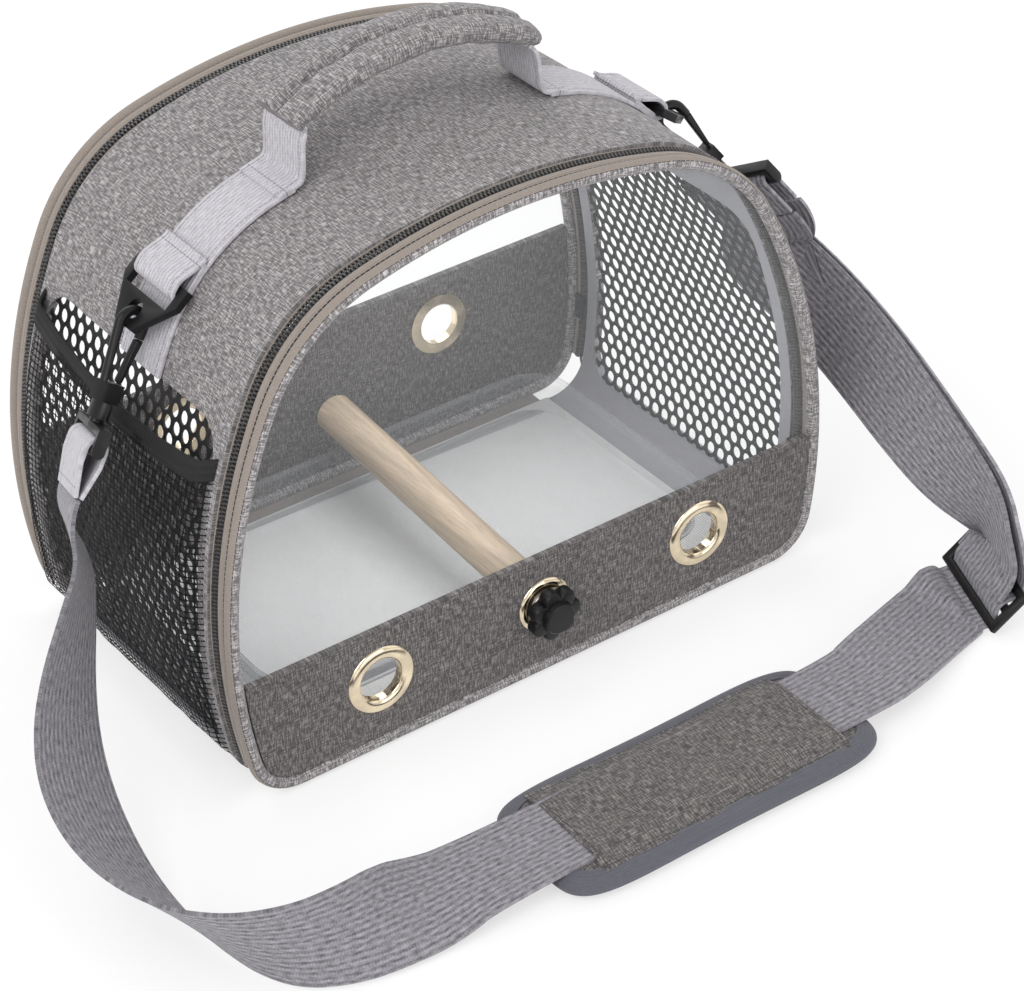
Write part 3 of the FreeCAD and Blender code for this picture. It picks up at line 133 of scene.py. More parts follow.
class CarrierSizes(bpy.types.PropertyGroup):
    """Outline of the bag and the scale of its cloth."""

    bag_width: length("Bag width", "Widest part of the arch", 0.300)
    bag_height: length("Bag height", "Floor to the top of the arch", 0.232)
    bag_depth: length("Bag depth", "Front piping to rear piping", 0.184)
    corner_radius: length("Corner radius", "Bottom corners of the arch", 0.023)
    side_radius: length("Side radius", "Sides of the arch", 0.253)
    side_height: length("Widest height", "Height of the widest part", 0.067)
    shoulder_radius: length("Shoulder radius", "Shoulders of the arch", 0.080)
    roof_radius: length("Roof radius", "Roof of the arch", 0.276)
    piping: length("Piping", "Diameter of the door piping", 0.006)
    shell_edge: length("Wrap edge", "Middle of the bag to the edge of the padded wrap", 0.0753)
    wall: length("Wall", "Thickness of the padded wrap", 0.004)
    front_band: length("Front band", "Top of the front door band", 0.060)
    rear_band: length("Rear band", "Top of the rear door band", 0.085)
    net_pitch: length("Net pitch", "Side net, one hole to the next", 0.0070)
    tooth_pitch: length("Tooth pitch", "Zip teeth, one to the next", 0.0018)
    strap_width: length("Strap width", "Shoulder strap", 0.040)
    webbing_width: length("Webbing width", "Handle webbing", 0.030)
    handle_forward: length("Handle forward", "Handle in front of the middle of the roof", 0.008)


class CarrierColours(bpy.types.PropertyGroup):
    """Colours of the cloth, trim and hardware."""

    shell_dark: colour("Wrap dark", "Dark yarn of the wrap", 78, 75, 76)
    shell_mid: colour("Wrap", "Main yarn of the wrap", 123, 119, 120)
    shell_light: colour("Wrap light", "Light yarn of the wrap", 184, 180, 180)
    band_dark: colour("Band dark", "Dark yarn of the door band", 54, 51, 51)
    band_mid: colour("Band", "Main yarn of the door band", 89, 85, 84)
    band_light: colour("Band light", "Light yarn of the door band", 140, 135, 133)
    tape: colour("Tape", "Zip tape", 142, 132, 124)
    strap: colour("Strap", "Shoulder strap", 134, 131, 137)
    webbing: colour("Webbing", "Handle webbing", 184, 181, 187)
    lining: colour("Lining", "Inside of the wrap", 158, 158, 164)
    binding: colour("Binding", "Edge of the shoulder pad", 88, 88, 97)
    black: colour("Black", "Net, teeth and mouldings", 17, 17, 19)
    gold: colour("Gold", "Eyelets", 232, 216, 188)
    wood: colour("Wood", "Perch", 205, 184, 158)


def sizes():
    """The lengths as they are set in the panel."""
    return bpy.context.scene.carrier_sizes


def colours():
    """The colours as they are set in the panel."""
    return bpy.context.scene.carrier_colours


# Outline of the arch, shared by every layer of the bag


def arch_right(inset):
    """Dense points of the right half of the arch, floor to roof, inset from the piping line."""
    s = sizes()
    side = (s.bag_width / 2 - s.side_radius, s.side_height)
    roof = (0.0, s.bag_height - s.roof_radius)
    rise = side[1] - s.corner_radius
    corner = (side[0] + math.sqrt((s.side_radius - s.corner_radius) ** 2 - rise**2), s.corner_radius)
    first, second = s.side_radius - s.shoulder_radius, s.roof_radius - s.shoulder_radius
    gap = math.hypot(roof[0] - side[0], roof[1] - side[1])
    along = (first**2 - second**2 + gap**2) / (2 * gap)
    aside = math.sqrt(first**2 - along**2)
    ux, uz = (roof[0] - side[0]) / gap, (roof[1] - side[1]) / gap
    options = []
    for k in (1, -1):
        options.append((side[0] + along * ux - k * aside * uz, side[1] + along * uz + k * aside * ux))
    shoulder = max(options, key=lambda point: point[1])
    turn_1 = math.atan2(corner[1] - side[1], corner[0] - side[0])
    turn_2 = math.atan2(shoulder[1] - side[1], shoulder[0] - side[0])
    turn_3 = math.atan2(shoulder[1] - roof[1], shoulder[0])
    points = [(x, inset) for x in np.linspace(0, corner[0], FLAT_STEPS)]
    arcs = (
        (corner, s.corner_radius, -math.pi / 2, turn_1),
        (side, s.side_radius, turn_1, turn_2),
        (shoulder, s.shoulder_radius, turn_2, turn_3),
        (roof, s.roof_radius, turn_3, math.pi / 2),
    )
    for centre, radius, start, end in arcs:
        for turn in np.linspace(start, end, ARC_STEPS)[1:]:
            reach = radius - inset
            points.append((centre[0] + reach * math.cos(turn), centre[1] + reach * math.sin(turn)))
    return np.array(points)


def arch_loop(inset):
    """The whole arch as a function of the share of its length, and that length."""
    right = arch_right(inset)
    left = right[::-1][1:] * (-1, 1)
    points = np.vstack([right, left])
    steps = np.hypot(*np.diff(points, axis=0).T)
    place = np.concatenate([[0], np.cumsum(steps)])
    total = place[-1]

    def at(share):
        along = share * total
        return (
            float(np.interp(along, place, points[:, 0])),
            float(np.interp(along, place, points[:, 1])),
        )

    return at, float(total)


def arch_span(inset, foot):
    """The arch above a height, from the right foot over the roof to the left foot."""
    at, total = arch_loop(inset)
    shares = np.linspace(0, 0.5, 2000)
    heights = np.array([at(share)[1] for share in shares])
    start = float(shares[np.argmax(heights >= foot)])

    def open_at(share):
        return at(start + share * (1 - 2 * start))

    return open_at, total * (1 - 2 * start)


def outward(at, share):
    """Direction square to the arch, away from its middle."""
    before, after = at(max(0.0, share - 0.001)), at(min(1.0, share + 0.001))
    return Vector((after[1] - before[1], 0, before[0] - after[0])).normalized()


def half_width(inset):
    """Half the width of the arch as a function of height."""
    right = arch_right(inset)[FLAT_STEPS - 1 :]
    return lambda z: float(np.interp(z, right[:, 1], right[:, 0]))


def from_middle(point):
    """Direction away from the middle of the bag, seen from the front."""
    return Vector((point.x, 0, point.z - MIDDLE_HEIGHT))


def rounded_rectangle(across, up, radius, steps):
    """Points round a rectangle with rounded corners."""
    (u0, u1), (v0, v1) = across, up
    corners = (
        (u1 - radius, v0 + radius, -90),
        (u1 - radius, v1 - radius, 0),
        (u0 + radius, v1 - radius, 90),
        (u0 + radius, v0 + radius, 180),
    )
    points = []
    for u, v, start in corners:
        for step in range(steps + 1):
            turn = math.radians(start + 90 * step / steps)
            points.append((u + radius * math.cos(turn), v + radius * math.sin(turn)))
    return points


def clamp(value):
    """A value held between 0 and 1."""
    return min(1.0, max(0.0, value))


def ease(share):
    """A share of 0 to 1 that starts and ends gently."""
    return share * share * (3 - 2 * share)


def running(line):
    """The distance along a line at each of its points."""
    places = [0.0]
    for before, after in zip(line, line[1:]):
        places.append(places[-1] + math.dist(before, after))
    return places


# Modelling helpers


def only(piece):
    """Select one piece and nothing else."""
    bpy.ops.object.select_all(action="DESELECT")
    piece.hide_set(False)
    piece.select_set(True)
    bpy.context.view_layer.objects.active = piece
    return piece


def edit(piece, *steps):
    """Run edit-mode steps on everything in a piece."""
    only(piece)
    bpy.ops.object.mode_set(mode="EDIT")
    bpy.ops.mesh.select_all(action="SELECT")
    for step, settings in steps:
        step(**settings)
    bpy.ops.object.mode_set(mode="OBJECT")
    return piece


def merge(piece, faces_out=True):
    """Weld points that meet, and turn the faces outwards where that is asked for."""
    steps = [(bpy.ops.mesh.remove_doubles, {"threshold": WELD})]
    if faces_out:
        steps.append((bpy.ops.mesh.normals_make_consistent, {"inside": False}))
    return edit(piece, *steps)


def rename(piece, name):
    """Give a piece and its mesh one name."""
    piece.name = name
    piece.data.name = name
    return piece


def from_faces(name, points, faces):
    """A piece made of given points and faces."""
    mesh = bpy.data.meshes.new(name)
    mesh.from_pydata(points, [], faces)
    piece = bpy.data.objects.new(name, mesh)
    bpy.context.scene.collection.objects.link(piece)
    return piece


def grid(name, columns, rows, shape, closed=False):
    """A grid whose points are placed by shape(u, v), which gives a point and its cloth coordinates."""
    bpy.ops.object.select_all(action="DESELECT")
    bpy.ops.mesh.primitive_grid_add(x_subdivisions=columns, y_subdivisions=rows, size=1.0)
    piece = rename(bpy.context.object, name)
    mesh = piece.data
    placed = [shape(vertex.co.x + 0.5, vertex.co.y + 0.5) for vertex in mesh.vertices]
    for vertex, (point, _) in zip(mesh.vertices, placed):
        vertex.co = point
    cloth = mesh.uv_layers.active.data
    for loop in mesh.loops:
        cloth[loop.index].uv = placed[loop.vertex_index][1]
    if closed:
        merge(piece)
    return piece


def apply(piece, kind, **settings):
    """Run a modifier on a piece for good."""
    only(piece)
    modifier = piece.modifiers.new(kind.lower(), kind)
    for key, value in settings.items():
        setattr(modifier, key, value)
    bpy.ops.object.modifier_apply(modifier=modifier.name)
    return piece


def cut(piece, cutter):
    """Take a cutter's shape out of a piece, and remove the cutter."""
    apply(piece, "BOOLEAN", object=cutter, operation="DIFFERENCE", solver="EXACT")
    bpy.data.objects.remove(cutter)


def facing(piece, towards):
    """Turn the faces of an open sheet so that they look along towards(point)."""
    total = sum(face.normal.dot(towards(face.center)) * face.area for face in piece.data.polygons)
    return edit(piece, (bpy.ops.mesh.flip_normals, {})) if total < 0 else piece


def thicken(piece, depth, offset=-1.0, edge=0.0):
    """Give a sheet its thickness, and break its edges where that is asked for."""
    apply(piece, "SOLIDIFY", thickness=depth, offset=offset, use_even_offset=True)
    if edge:
        soften_edges(piece, edge)
    return piece


def soften_edges(piece, width, angle=40):
    """Break the edges that are sharper than an angle."""
    return apply(
        piece,
        "BEVEL",
        width=width,
        segments=2,
        limit_method="ANGLE",
        angle_limit=math.radians(angle),
        use_clamp_overlap=True,
        harden_normals=False,
    )


def ripple(piece, amount, scale, seed=0.0, where=None):
    """Move the cloth a little along its normals, by smooth noise."""
    mesh = piece.data
    normals = [vertex.normal.copy() for vertex in mesh.vertices]
    for vertex, normal in zip(mesh.vertices, normals):
        share = where(vertex.co) if where else 1.0
        level = noise.noise(vertex.co / scale + Vector((seed, seed * 2, seed * 3)))
        vertex.co += normal * (amount * share * level)
    mesh.update()
    return piece


def lathe(name, profile, centre, axis, segments=64):
    """A closed profile of (radius, height) turned round an axis."""
    turn = Vector((0, 0, 1)).rotation_difference(Vector(axis)).to_matrix()
    loop = list(profile) + [profile[0]]
    rows = len(loop) - 1

    def shape(u, v):
        radius, height = loop[round(v * rows)]
        angle = u * 2 * math.pi
        local = Vector((radius * math.cos(angle), radius * math.sin(angle), height))
        return Vector(centre) + turn @ local, (u * 0.1, height)

    return grid(name, segments, rows, shape, closed=True)


def plate(name, outline, towards):
    """A flat sheet with the given outline, thickened along a vector."""
    bpy.ops.object.select_all(action="DESELECT")
    bpy.ops.mesh.primitive_circle_add(vertices=len(outline), radius=1.0, fill_type="NGON")
    piece = rename(bpy.context.object, name)
    for vertex, point in zip(piece.data.vertices, outline):
        vertex.co = point
    edit(
        piece,
        (bpy.ops.mesh.extrude_region_move, {"TRANSFORM_OT_translate": {"value": tuple(towards)}}),
    )
    return merge(piece)


def rounded_copy(node, width, angle=35):
    """A CAD node's shape with its edges broken."""
    source = NODES[node]
    bpy.ops.object.select_all(action="DESELECT")
    piece = source.copy()
    piece.data = source.data.copy()
    bpy.context.scene.collection.objects.link(piece)
    piece.parent = None
    piece.matrix_world = Matrix.Identity(4)
    rename(piece, node + "_finish")
    for key in list(piece.keys()):
        del piece[key]
    edit(
        piece,
        (bpy.ops.mesh.remove_doubles, {"threshold": WELD}),
        (bpy.ops.mesh.dissolve_limited, {"angle_limit": math.radians(1.0)}),
        (bpy.ops.uv.cube_project, {"cube_size": 1.0, "scale_to_bounds": False}),
    )
    return soften_edges(piece, width, angle)


def dress(piece, finish, smooth=40):
    """Give a piece its material or materials and smooth shading."""
    finishes = finish if isinstance(finish, (list, tuple)) else [finish]
    piece.data.materials.clear()
    for item in finishes:
        piece.data.materials.append(item)
    only(piece)
    bpy.ops.object.shade_smooth_by_angle(angle=math.radians(smooth))
    return piece


def place(piece, body, nodes, slot, finish, smooth=40):
    """Dress a piece, let it ride on a body, and hide the nodes it stands for."""
    dress(piece, finish, smooth)
    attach(piece, body)
    if nodes:
        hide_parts(*nodes)
    return piece


# Materials


def feed(tree, socket, value):
    """Join a socket to another one, or set it to a number, a vector or a colour."""
    if isinstance(value, bpy.types.NodeSocket):
        tree.links.new(value, socket)
    elif socket.type == "RGBA":
        socket.default_value = tuple(value)[:3] + (1.0,)
    else:
        socket.default_value = value


def add(tree, kind, links=None, **settings):
    """A node with its settings, and its inputs set to values or joined to sockets."""
    node = tree.nodes.new("ShaderNode" + kind)
    for key, value in settings.items():
        setattr(node, key, value)
    for key, value in (links or {}).items():
        feed(tree, node.inputs[key], value)
    return node


def maths(tree, operation, first, second=0.0, third=0.0):
    """The result of one sum."""
    node = add(tree, "Math", {0: first, 1: second, 2: third}, operation=operation)
    return node.outputs[0]


def mix(tree, factor, first, second):
    """Two colours, mixed by a factor."""
    return add(tree, "Mix", {0: factor, 6: first, 7: second}, data_type="RGBA").outputs[2]


def shaded(tone, factor):
    """A colour made darker or lighter."""
    return tuple(part * factor for part in tone)


def group(name, inputs, outputs):
    """A node group with named sockets, given as (name, kind, default)."""
    tree = bpy.data.node_groups.new(name, "ShaderNodeTree")
    kinds = {"value": "NodeSocketFloat", "vector": "NodeSocketVector", "colour": "NodeSocketColor"}
    for label, kind, default in inputs:
        socket = tree.interface.new_socket(label, in_out="INPUT", socket_type=kinds[kind])
        if default is not None:
            socket.default_value = default
    for label, kind in outputs:
        tree.interface.new_socket(label, in_out="OUTPUT", socket_type=kinds[kind])
    entry = tree.nodes.new("NodeGroupInput")
    leave = tree.nodes.new("NodeGroupOutput")
    return tree, entry.outputs, leave.inputs


def stretched_noise(tree, vector, scale, low, high, detail=2.0):
    """Noise with its own scale on each axis, spread over 0 to 1."""
    mapped = add(tree, "Mapping", {"Vector": vector, "Scale": scale})
    grain = add(tree, "TexNoise", {"Vector": mapped.outputs[0], "Scale": 1.0, "Detail": detail})
    spread = add(
        tree, "MapRange", {"Value": grain.outputs[0], "From Min": low, "From Max": high}
    )
    return spread.outputs[0]


def melange_group():
    """Two-tone woven cloth: short light and dark flecks along both threads."""
    tree, entry, leave = group(
        "melange",
        [
            ("Vector", "vector", None),
            ("Dark", "colour", WHITE),
            ("Main", "colour", WHITE),
            ("Light", "colour", WHITE),
        ],
        [("Color", "colour"), ("Height", "value")],
    )
    weft = stretched_noise(tree, entry["Vector"], (1700.0, 240.0, 1.0), 0.41, 0.60)
    warp = stretched_noise(tree, entry["Vector"], (240.0, 1700.0, 1.0), 0.41, 0.60)
    either = add(tree, "Mix", {0: 0.42, 2: weft, 3: warp}, data_type="FLOAT").outputs[0]
    grain = stretched_noise(tree, entry["Vector"], (1700.0, 1700.0, 1.0), 0.3, 0.7)
    cloudy = stretched_noise(tree, entry["Vector"], (45.0, 60.0, 1.0), 0.2, 0.8)
    threads = maths(tree, "MULTIPLY_ADD", either, 0.95, maths(tree, "MULTIPLY_ADD", grain, 0.28, -0.20))
    level = maths(tree, "MULTIPLY_ADD", cloudy, 0.12, threads)
    darker = maths(tree, "MULTIPLY", level, 2.0)
    darker.node.use_clamp = True
    lighter = maths(tree, "MULTIPLY_ADD", level, 2.0, -1.0)
    lighter.node.use_clamp = True
    base = mix(tree, darker, entry["Dark"], entry["Main"])
    full = mix(tree, lighter, base, entry["Light"])
    tree.links.new(full, leave["Color"])
    tree.links.new(either, leave["Height"])
    return tree


def ribbed_group():
    """Narrow webbing: ribs along its length, crossed by fine picks."""
    tree, entry, leave = group(
        "ribbed",
        [
            ("Vector", "vector", None),
            ("Main", "colour", WHITE),
            ("Rib", "value", 0.0016),
            ("Pick", "value", 0.0011),
            ("Contrast", "value", 0.3),
        ],
        [("Color", "colour"), ("Height", "value")],
    )
    parts = add(tree, "SeparateXYZ", {0: entry["Vector"]}).outputs
    turns = maths(tree, "DIVIDE", parts[0], entry["Rib"])
    rib = maths(tree, "SINE", maths(tree, "MULTIPLY", turns, 2 * math.pi))
    rows = maths(tree, "DIVIDE", parts[1], entry["Pick"])
    shifted = maths(tree, "MULTIPLY_ADD", maths(tree, "FLOOR", turns), 0.5, rows)
    pick = maths(tree, "SINE", maths(tree, "MULTIPLY", shifted, 2 * math.pi))
    height = maths(tree, "MULTIPLY_ADD", pick, 0.35, rib)
    speck = stretched_noise(tree, entry["Vector"], (900.0, 300.0, 1.0), 0.3, 0.7)
    shade = maths(tree, "MULTIPLY_ADD", speck, 0.7, maths(tree, "MULTIPLY", height, 0.22))
    level = maths(tree, "MULTIPLY_ADD", shade, entry["Contrast"], 1.0)
    lowered = maths(tree, "MULTIPLY_ADD", entry["Contrast"], -0.45, level)
    toned = add(tree, "VectorMath", {0: entry["Main"], 3: lowered}, operation="SCALE")
    tree.links.new(toned.outputs[0], leave["Color"])
    tree.links.new(height, leave["Height"])
    return tree


def stitch_and_shade_group():
    """A dashed row at one place across the cloth, for stitches and for the painted shade lines beside the zip
    tape.
    """
    tree, entry, leave = group(
        "stitch_and_shade_row",
        [
            ("Along", "value", 0.0),
            ("Across", "value", 0.0),
            ("Place", "value", 0.0),
            ("Pitch", "value", 0.0024),
            ("Width", "value", 0.0005),
        ],
        [("Mask", "value")],
    )
    off = maths(tree, "ABSOLUTE", maths(tree, "SUBTRACT", entry["Across"], entry["Place"]))
    near = maths(tree, "LESS_THAN", off, maths(tree, "MULTIPLY", entry["Width"], 0.5))
    step = maths(tree, "FRACT", maths(tree, "DIVIDE", entry["Along"], entry["Pitch"]))
    on = maths(tree, "LESS_THAN", step, 0.8)
    tree.links.new(maths(tree, "MULTIPLY", near, on), leave["Mask"])
    return tree


def moulded_group():
    """Fine grain and faint scuffs of moulded plastic or coated metal."""
    tree, entry, leave = group(
        "moulded",
        [("Vector", "vector", None), ("Main", "colour", WHITE), ("Rough", "value", 0.4)],
        [("Color", "colour"), ("Roughness", "value"), ("Height", "value")],
    )
    grain = stretched_noise(tree, entry["Vector"], (1600.0, 1600.0, 1600.0), 0.3, 0.7)
    scuff = stretched_noise(tree, entry["Vector"], (90.0, 160.0, 120.0), 0.45, 0.8, 4.0)
    lit = maths(tree, "MULTIPLY_ADD", scuff, 0.5, 0.9)
    toned = add(tree, "VectorMath", {0: entry["Main"], 3: lit}, operation="SCALE")
    rough = maths(tree, "MULTIPLY_ADD", scuff, 0.18, entry["Rough"])
    tree.links.new(toned.outputs[0], leave["Color"])
    tree.links.new(rough, leave["Roughness"])
    tree.links.new(grain, leave["Height"])
    return tree


GROUPS = {}


def shared(tree, name, links):
    """Place a shared effect in a material, building it the first time."""
    if name not in GROUPS:
        makers = {
            "melange": melange_group,
            "ribbed": ribbed_group,
            "stitch_and_shade_row": stitch_and_shade_group,
            "moulded": moulded_group,
        }
        GROUPS[name] = makers[name]()
    node = tree.nodes.new("ShaderNodeGroup")
    node.node_tree = GROUPS[name]
    for key, value in links.items():
        feed(tree, node.inputs[key], value)
    return node.outputs


def new_finish(name, **sockets):
    """A material and its shader, with the values that are the same all over."""
    finish = bpy.data.materials.new(name)
    finish.use_nodes = True
    tree = finish.node_tree
    shader = tree.nodes["Principled BSDF"]
    for key, value in sockets.items():
        feed(tree, shader.inputs[key.replace("_", " ")], value)
    return finish, tree, shader


def cloth_vector(tree):
    """Places on the cloth, in metres along its two threads."""
    return add(tree, "UVMap").outputs[0]


def object_vector(tree):
    """Places in a piece's own space."""
    return add(tree, "TexCoord").outputs["Object"]


def relief(tree, shader, height, strength, distance):
    """Let the shader follow a small height."""
    bump = add(tree, "Bump", {"Height": height, "Strength": strength, "Distance": distance})
    tree.links.new(bump.outputs[0], shader.inputs["Normal"])


def stitched_and_shaded(tree, vector, cloth, rows, thread):
    """A cloth's colour with rows of stitches and of painted shade, given as (axis, place), and the mask of
    each row.
    """
    parts = add(tree, "SeparateXYZ", {0: vector}).outputs
    result, masks = cloth, []
    for axis, at in rows:
        links = {"Along": parts[1 - axis], "Across": parts[axis], "Place": at}
        masks.append(shared(tree, "stitch_and_shade_row", links)["Mask"])
        result = mix(tree, masks[-1], result, thread)
    return result, masks


def melange_finish(name, dark, main, light, rows=(), thread=(0.2, 0.2, 0.2)):
    """Melange cloth with raised rows of stitches; on the piping the rows are painted shade of the gap beside
    the zip tape.
    """
    finish, tree, shader = new_finish(name, Roughness=0.92, Sheen_Weight=0.12, Sheen_Roughness=0.6)
    vector = cloth_vector(tree)
    cloth = shared(tree, "melange", {"Vector": vector, "Dark": dark, "Main": main, "Light": light})
    result, masks = stitched_and_shaded(tree, vector, cloth["Color"], rows, thread)
    height = cloth["Height"]
    for mask in masks:
        height = maths(tree, "MULTIPLY_ADD", mask, 1.5, height)
    tree.links.new(result, shader.inputs["Base Color"])
    relief(tree, shader, height, 0.35, 0.0005)
    return finish


def ribbed_finish(name, main, rib, pick, contrast, rows=(), thread=(0.05, 0.05, 0.055), sheen=0.15):
    """Ribbed webbing or tape with flat rows of stitches; on the zip tape the rows along its edges are painted
    shade.
    """
    finish, tree, shader = new_finish(name, Roughness=0.8, Sheen_Weight=sheen, Sheen_Roughness=0.45)
    vector = cloth_vector(tree)
    links = {"Vector": vector, "Main": main, "Rib": rib, "Pick": pick, "Contrast": contrast}
    cloth = shared(tree, "ribbed", links)
    result, _ = stitched_and_shaded(tree, vector, cloth["Color"], rows, thread)
    tree.links.new(result, shader.inputs["Base Color"])
    relief(tree, shader, cloth["Height"], 0.4, 0.0004)
    return finish


def moulded_finish(name, main, rough, metal=0.0, bump=0.08, **sockets):
    """Moulded plastic or coated metal."""
    finish, tree, shader = new_finish(name, Metallic=metal, **sockets)
    skin = shared(tree, "moulded", {"Vector": object_vector(tree), "Main": main, "Rough": rough})
    tree.links.new(skin["Color"], shader.inputs["Base Color"])
    tree.links.new(skin["Roughness"], shader.inputs["Roughness"])
    relief(tree, shader, skin["Height"], bump, 0.0002)
    return finish


def clear_finish(name, tint, least, edge, rough):
    """Clear sheet: almost unseen face-on, and shiny at a glancing angle."""
    finish, tree, shader = new_finish(name, Base_Color=tint, Roughness=rough, IOR=1.45)
    wave = add(tree, "TexNoise", {"Vector": object_vector(tree), "Scale": 14.0})
    relief(tree, shader, wave.outputs[0], 0.12, 0.004)
    rim = add(tree, "LayerWeight", {"Blend": 0.35}).outputs["Facing"]
    alpha = maths(tree, "MULTIPLY_ADD", maths(tree, "POWER", rim, 2.0), edge, least)
    shadow = add(tree, "LightPath").outputs["Is Shadow Ray"]
    unshadowed = maths(tree, "SUBTRACT", 1.0, shadow)
    tree.links.new(maths(tree, "MULTIPLY", alpha, unshadowed), shader.inputs["Alpha"])
    return finish


def wood_finish(name, main):
    """Plain dowel wood, with its grain along the perch."""
    finish, tree, shader = new_finish(name, Roughness=0.55)
    vector = object_vector(tree)
    grain = stretched_noise(tree, vector, (320.0, 9.0, 320.0), 0.3, 0.7, 4.0)
    pore = stretched_noise(tree, vector, (1500.0, 60.0, 1500.0), 0.5, 0.75)
    base = mix(tree, grain, shaded(main, 0.62), main)
    full = mix(tree, maths(tree, "MULTIPLY", pore, 0.4), base, shaded(main, 0.4))
    tree.links.new(full, shader.inputs["Base Color"])
    relief(tree, shader, grain, 0.15, 0.0004)
    return finish


def mesh_finish(name, main, pitch, hole):
    """Fine knitted mesh: small open holes between dark threads, with a painted highlight where the threads
    rise.
    """
    finish, tree, shader = new_finish(name, Roughness=0.7, Specular_IOR_Level=0.2)
    parts = add(tree, "SeparateXYZ", {0: cloth_vector(tree)}).outputs
    u = maths(tree, "MULTIPLY", parts[0], 2 * math.pi / pitch)
    v = maths(tree, "MULTIPLY", parts[1], 2 * math.pi / pitch)
    both = maths(tree, "MULTIPLY", maths(tree, "SINE", u), maths(tree, "SINE", v))
    thread = maths(tree, "LESS_THAN", maths(tree, "ABSOLUTE", both), hole)
    # The threads are painted lighter where the mesh relief rises: a painted highlight
    shade = mix(tree, both, main, shaded(main, 2.2))
    tree.links.new(shade, shader.inputs["Base Color"])
    tree.links.new(thread, shader.inputs["Alpha"])
    relief(tree, shader, both, 0.4, 0.0004)
    return finish


FINISHES = {}


def make_finishes():
    """Make every material of the bag."""
    c = colours()
    shell = (tuple(c.shell_dark), tuple(c.shell_mid), tuple(c.shell_light))
    band = (tuple(c.band_dark), tuple(c.band_mid), tuple(c.band_light))
    roll = [shaded(tone, 1.2) for tone in shell]
    # Dark rows on the piping where it meets the zip tape: painted shade of the gap between them, dashed like
    # stitching
    roll_shade_rows = ((1, 0.01607), (1, 0.00278))
    black = tuple(c.black)
    # Dark thread of the real seams and stitches, also used for the painted shade rows of the piping and the
    # zip tape
    dark_thread_and_shade = srgb(52, 50, 52)
    grey_thread = srgb(126, 124, 131)
    # Dark rows along both edges of the zip tape: painted shade of the gaps beside it, dashed like stitching
    tape_shade_rows = ((0, 0.0002), (0, 0.0046))
    webbing_rows = ((0, -0.0126), (0, 0.0126), (1, 0.004))
    cover_rows = ((1, -0.0262), (1, 0.0262), (0, -0.0600), (0, 0.0600))
    FINISHES.update(
        shell=melange_finish("wrap_cloth", *shell),
        piping=melange_finish("piping_cloth", *roll, rows=roll_shade_rows, thread=dark_thread_and_shade),
        band=melange_finish("band_cloth", *band),
        grip=melange_finish("grip_cloth", *shell, rows=((1, 0.0),), thread=dark_thread_and_shade),
        pad=melange_finish("pad_cloth", *band, rows=cover_rows, thread=dark_thread_and_shade),
        lining=ribbed_finish("lining_cloth", tuple(c.lining), 0.0009, 0.0009, 0.12),
        tape=ribbed_finish(
            "zip_tape", tuple(c.tape), 0.0012, 0.0009, 0.16, rows=tape_shade_rows, thread=dark_thread_and_shade
        ),
        strap=ribbed_finish("strap_webbing", tuple(c.strap), 0.0026, 0.0013, 1.0),
        webbing=ribbed_finish(
            "handle_webbing", tuple(c.webbing), 0.0019, 0.0014, 0.5, rows=webbing_rows, thread=grey_thread
        ),
        binding=ribbed_finish("pad_binding", tuple(c.binding), 0.0011, 0.0009, 0.25),
        teeth=moulded_finish("zip_teeth", srgb(66, 64, 63), 0.34),
        net=moulded_finish("side_net", black, 0.55),
        pocket=mesh_finish("pocket_mesh", black, 0.0054, 0.24),
        elastic=ribbed_finish("pocket_elastic", srgb(21, 21, 23), 0.0030, 0.0012, 0.3, sheen=0.0),
        black=moulded_finish("black_moulding", black, 0.34, Specular_IOR_Level=0.3),
        hook=moulded_finish("black_hook", srgb(17, 17, 19), 0.36, bump=0.03, Specular_IOR_Level=0.3),
        gold=moulded_finish("gold_eyelet", tuple(c.gold), 0.12, metal=1.0, bump=0.02),
        steel=moulded_finish("plain_steel", srgb(190, 190, 190), 0.3, metal=1.0, bump=0.03),
        wood=wood_finish("dowel_wood", tuple(c.wood)),
        clear=clear_finish("clear_sheet", srgb(235, 238, 240), 0.025, 0.45, 0.04),
        tray=clear_finish("clear_tray", srgb(196, 200, 205), 0.05, 0.85, 0.06),
        board=ribbed_finish("board_lining", srgb(242, 242, 242), 0.0012, 0.0012, 0.05),
    )


# Bag pieces


class CARRIER_OT_wrap(bpy.types.Operator):
    """Build the padded wrap with its side windows and lining"""

    bl_idname = "carrier.wrap"
    bl_label = "Padded wrap"

    def execute(self, context):
        s = sizes()
        at, total = arch_loop(0.00005)

        def shape(u, v):
            x, z = at(u)
            y = (v - 0.5) * 2 * s.shell_edge
            return Vector((x, y, z)), (u * total, y)

        wrap = grid("wrap", 260, 44, shape)
        merge(wrap, faces_out=False)
        facing(wrap, from_middle)
        high = s.bag_height * 0.25
        ripple(wrap, 0.0011, 0.05, 1.0, lambda point: clamp((point.z - 0.02) / high))
        thicken(wrap, s.wall)
        outline = rounded_rectangle(OPENING_ACROSS, OPENING_UP, OPENING_CORNER, 12)
        cut(wrap, plate("window_cutter", [(-0.3, y, z) for y, z in outline], (0.6, 0, 0)))
        place(wrap, "carrier", ["dome_shell"], "shell_fabric", [FINISHES["shell"], FINISHES["lining"]])
        for face in wrap.data.polygons:
            if face.normal.dot(-from_middle(face.center).normalized()) > 0.3:
                face.material_index = 1
        return {"FINISHED"}


